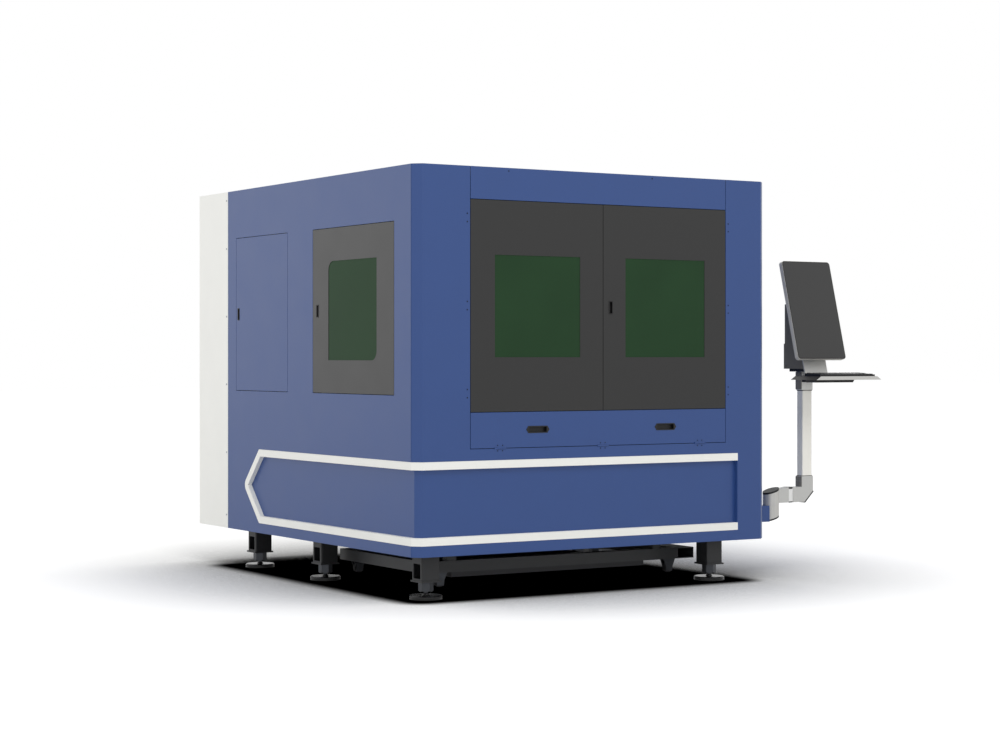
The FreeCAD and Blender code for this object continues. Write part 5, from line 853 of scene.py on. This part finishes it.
# A cube that remembers its corners is stretched to each key's size
cap = add(tree, "GeometryNodeMeshCube", {"Size": (1, 1, 1)})
corner = add(tree, "GeometryNodeInputPosition")
marked = add(tree, "GeometryNodeStoreNamedAttribute",
             {"data_type": "FLOAT_VECTOR", "domain": "POINT", "Name": "corner"},
             {"Geometry": cap.outputs["Mesh"], "Value": corner.outputs[0]})
size = add(tree, "GeometryNodeInputNamedAttribute",
           {"data_type": "FLOAT_VECTOR", "Name": "key_size"})
turn = add(tree, "FunctionNodeEulerToRotation", links={"Euler": given["Board Tilt"]})
spread = add(tree, "GeometryNodeInstanceOnPoints",
             links={"Points": given["Geometry"], "Instance": marked.outputs["Geometry"],
                    "Scale": size.outputs[0], "Rotation": turn.outputs[0]})
real = add(tree, "GeometryNodeRealizeInstances", links={"Geometry": spread.outputs[0]})
# Then the corners of its top are drawn in, by the same amount on every key
where = add(tree, "GeometryNodeInputNamedAttribute",
            {"data_type": "FLOAT_VECTOR", "Name": "corner"})
parts = add(tree, "ShaderNodeSeparateXYZ", links={0: where.outputs[0]})
top = add(tree, "ShaderNodeMath", {"operation": "GREATER_THAN", 1: 0.0},
          {0: parts.outputs["Z"]})
inwards = add(tree, "ShaderNodeMath", {"operation": "MULTIPLY", 1: -2.0},
              {0: given["Top Inset"]})
shift_x = add(tree, "ShaderNodeMath", {"operation": "MULTIPLY"},
              {0: inwards.outputs[0], 1: parts.outputs["X"]})
shift_y = add(tree, "ShaderNodeMath", {"operation": "MULTIPLY"},
              {0: inwards.outputs[0], 1: parts.outputs["Y"]})
shift = add(tree, "ShaderNodeCombineXYZ", links={"X": shift_x.outputs[0],
                                                 "Y": shift_y.outputs[0]})
shaped = add(tree, "GeometryNodeSetPosition",
             links={"Geometry": real.outputs[0], "Selection": top.outputs[0],
                    "Offset": shift.outputs[0]})
close_tree(tree, shaped.outputs[0], given["Finish"])

key_gap, key_height, key_up = 0.0016, 0.0050, 0.0008
spots, key_sizes = [], []
for start, row, wide in keys:
    gap = ROW_GAP if row else 0.0
    x = board_low.x + side_margin + (start + wide / 2) * unit
    y = board_high.y - end_margin - (row + gap + 0.5) * pitch
    z = board_low.z + front_rise + (y - board_low.y) * math.tan(tilt) + key_up
    spots.append((x, y, z))
    key_sizes += [wide * unit - key_gap, pitch - key_gap, key_height]
seed = bpy.data.meshes.new("key_points")
seed.from_pydata(spots, [], [])
seed.attributes.new("key_size", "FLOAT_VECTOR", "POINT").data.foreach_set("vector", key_sizes)
carrier = bpy.data.objects.new("keyboard_keys", seed)
bpy.context.scene.collection.objects.link(carrier)
run_tree(tree, carrier, {"Board Tilt": (tilt, 0, 0), "Finish": key_plastic})
kept = carrier.data.attributes
for name in ("corner", "key_size"):
    if name in kept:
        kept.remove(kept[name])
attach(carrier, "tray")


# ---- Screen and its mount ----
# A slim widescreen display turned upright: satin silver case, dark glass edge to edge over
# a black gasket, tilting on a dark powder-coated box and column.
# Silver-sprayed ABS case: grey with a metallic sheen
case_silver = metal("silver_sprayed_case", "C9C7C0", 0.48, grain_mm=1.1, strength=0.02,
                    metallic=0.1)
finish_in(case_silver, "monitor")
# Dark powder coat with a trace of green
mount_grey = powder_coat("dark_mount_powder_coat", "7A766B", 0.55)
plate_height = 0.015
plate_top = collar_high + plate_height


def mount_zone(middle, normal):
    """1 on the black plate between the box and the collar."""
    return 1 if middle.z < plate_top - hair else 0


skin("monitor_mount", (mount_grey, black_nylon), mount_zone, "tray", "mount_paint")
# The case leans back, and its lowest point is the foot of its back
lean = math.radians(15)
case_depth, case_corner = 0.025, 0.018
case_low, case_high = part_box("monitor")
screen_foot = Vector((mast_x, case_low.y, case_low.z + case_depth * math.sin(lean)))
screen_half = (case_high.x - case_low.x) / 2
screen_tall = (case_high.z - screen_foot.z) / math.cos(lean)


def on_screen(u, depth, height):
    """A point across, behind and up the leaning screen, from its lower front edge."""
    return (screen_foot.x + u, screen_foot.y + depth * math.cos(lean) + height * math.sin(lean),
            screen_foot.z - depth * math.sin(lean) + height * math.cos(lean))


def screen_outline(side_inset, end_inset, corner_inset, depth, steps=8):
    """The case's face drawn in by a little each way, as points in space."""
    half, low, high = screen_half - side_inset, end_inset, screen_tall - end_inset
    radius = case_corner - corner_inset
    outline = []
    for u, v, start in ((half - radius, high - radius, 0), (radius - half, high - radius, 90),
                        (radius - half, low + radius, 180), (half - radius, low + radius, 270)):
        for step in range(steps + 1):
            turn = math.radians(start + 90 * step / steps)
            outline.append(on_screen(u + radius * math.cos(turn), depth,
                                     v + radius * math.sin(turn)))
    return outline


behind = Vector((0, math.cos(lean), -math.sin(lean)))
# Neoprene gasket: a black line round the glass
gasket = moulded("black_gasket_rubber", "141415", 0.6)
edge, gasket_proud, gasket_thick = 0.0015, 0.0008, 0.0010
extruded("screen_gasket", screen_outline(edge, edge, edge, -gasket_proud),
         behind * gasket_thick, gasket, "screen")
# Chemically etched glass over a dark panel: even dark grey, no sharp reflection
etched_glass = moulded("etched_screen_glass", "2B2B2B", 0.34, grain_mm=0.4, depth=0.02,
                       ior=1.52)
side_inset, end_inset, corner_inset = 0.0048, 0.0055, 0.0045
glass_proud, glass_thick = 0.0016, 0.0014
extruded("screen_glass", screen_outline(side_inset, end_inset, corner_inset, -glass_proud),
         behind * glass_thick, etched_glass, "screen", bevel=0.0004, steps=1)
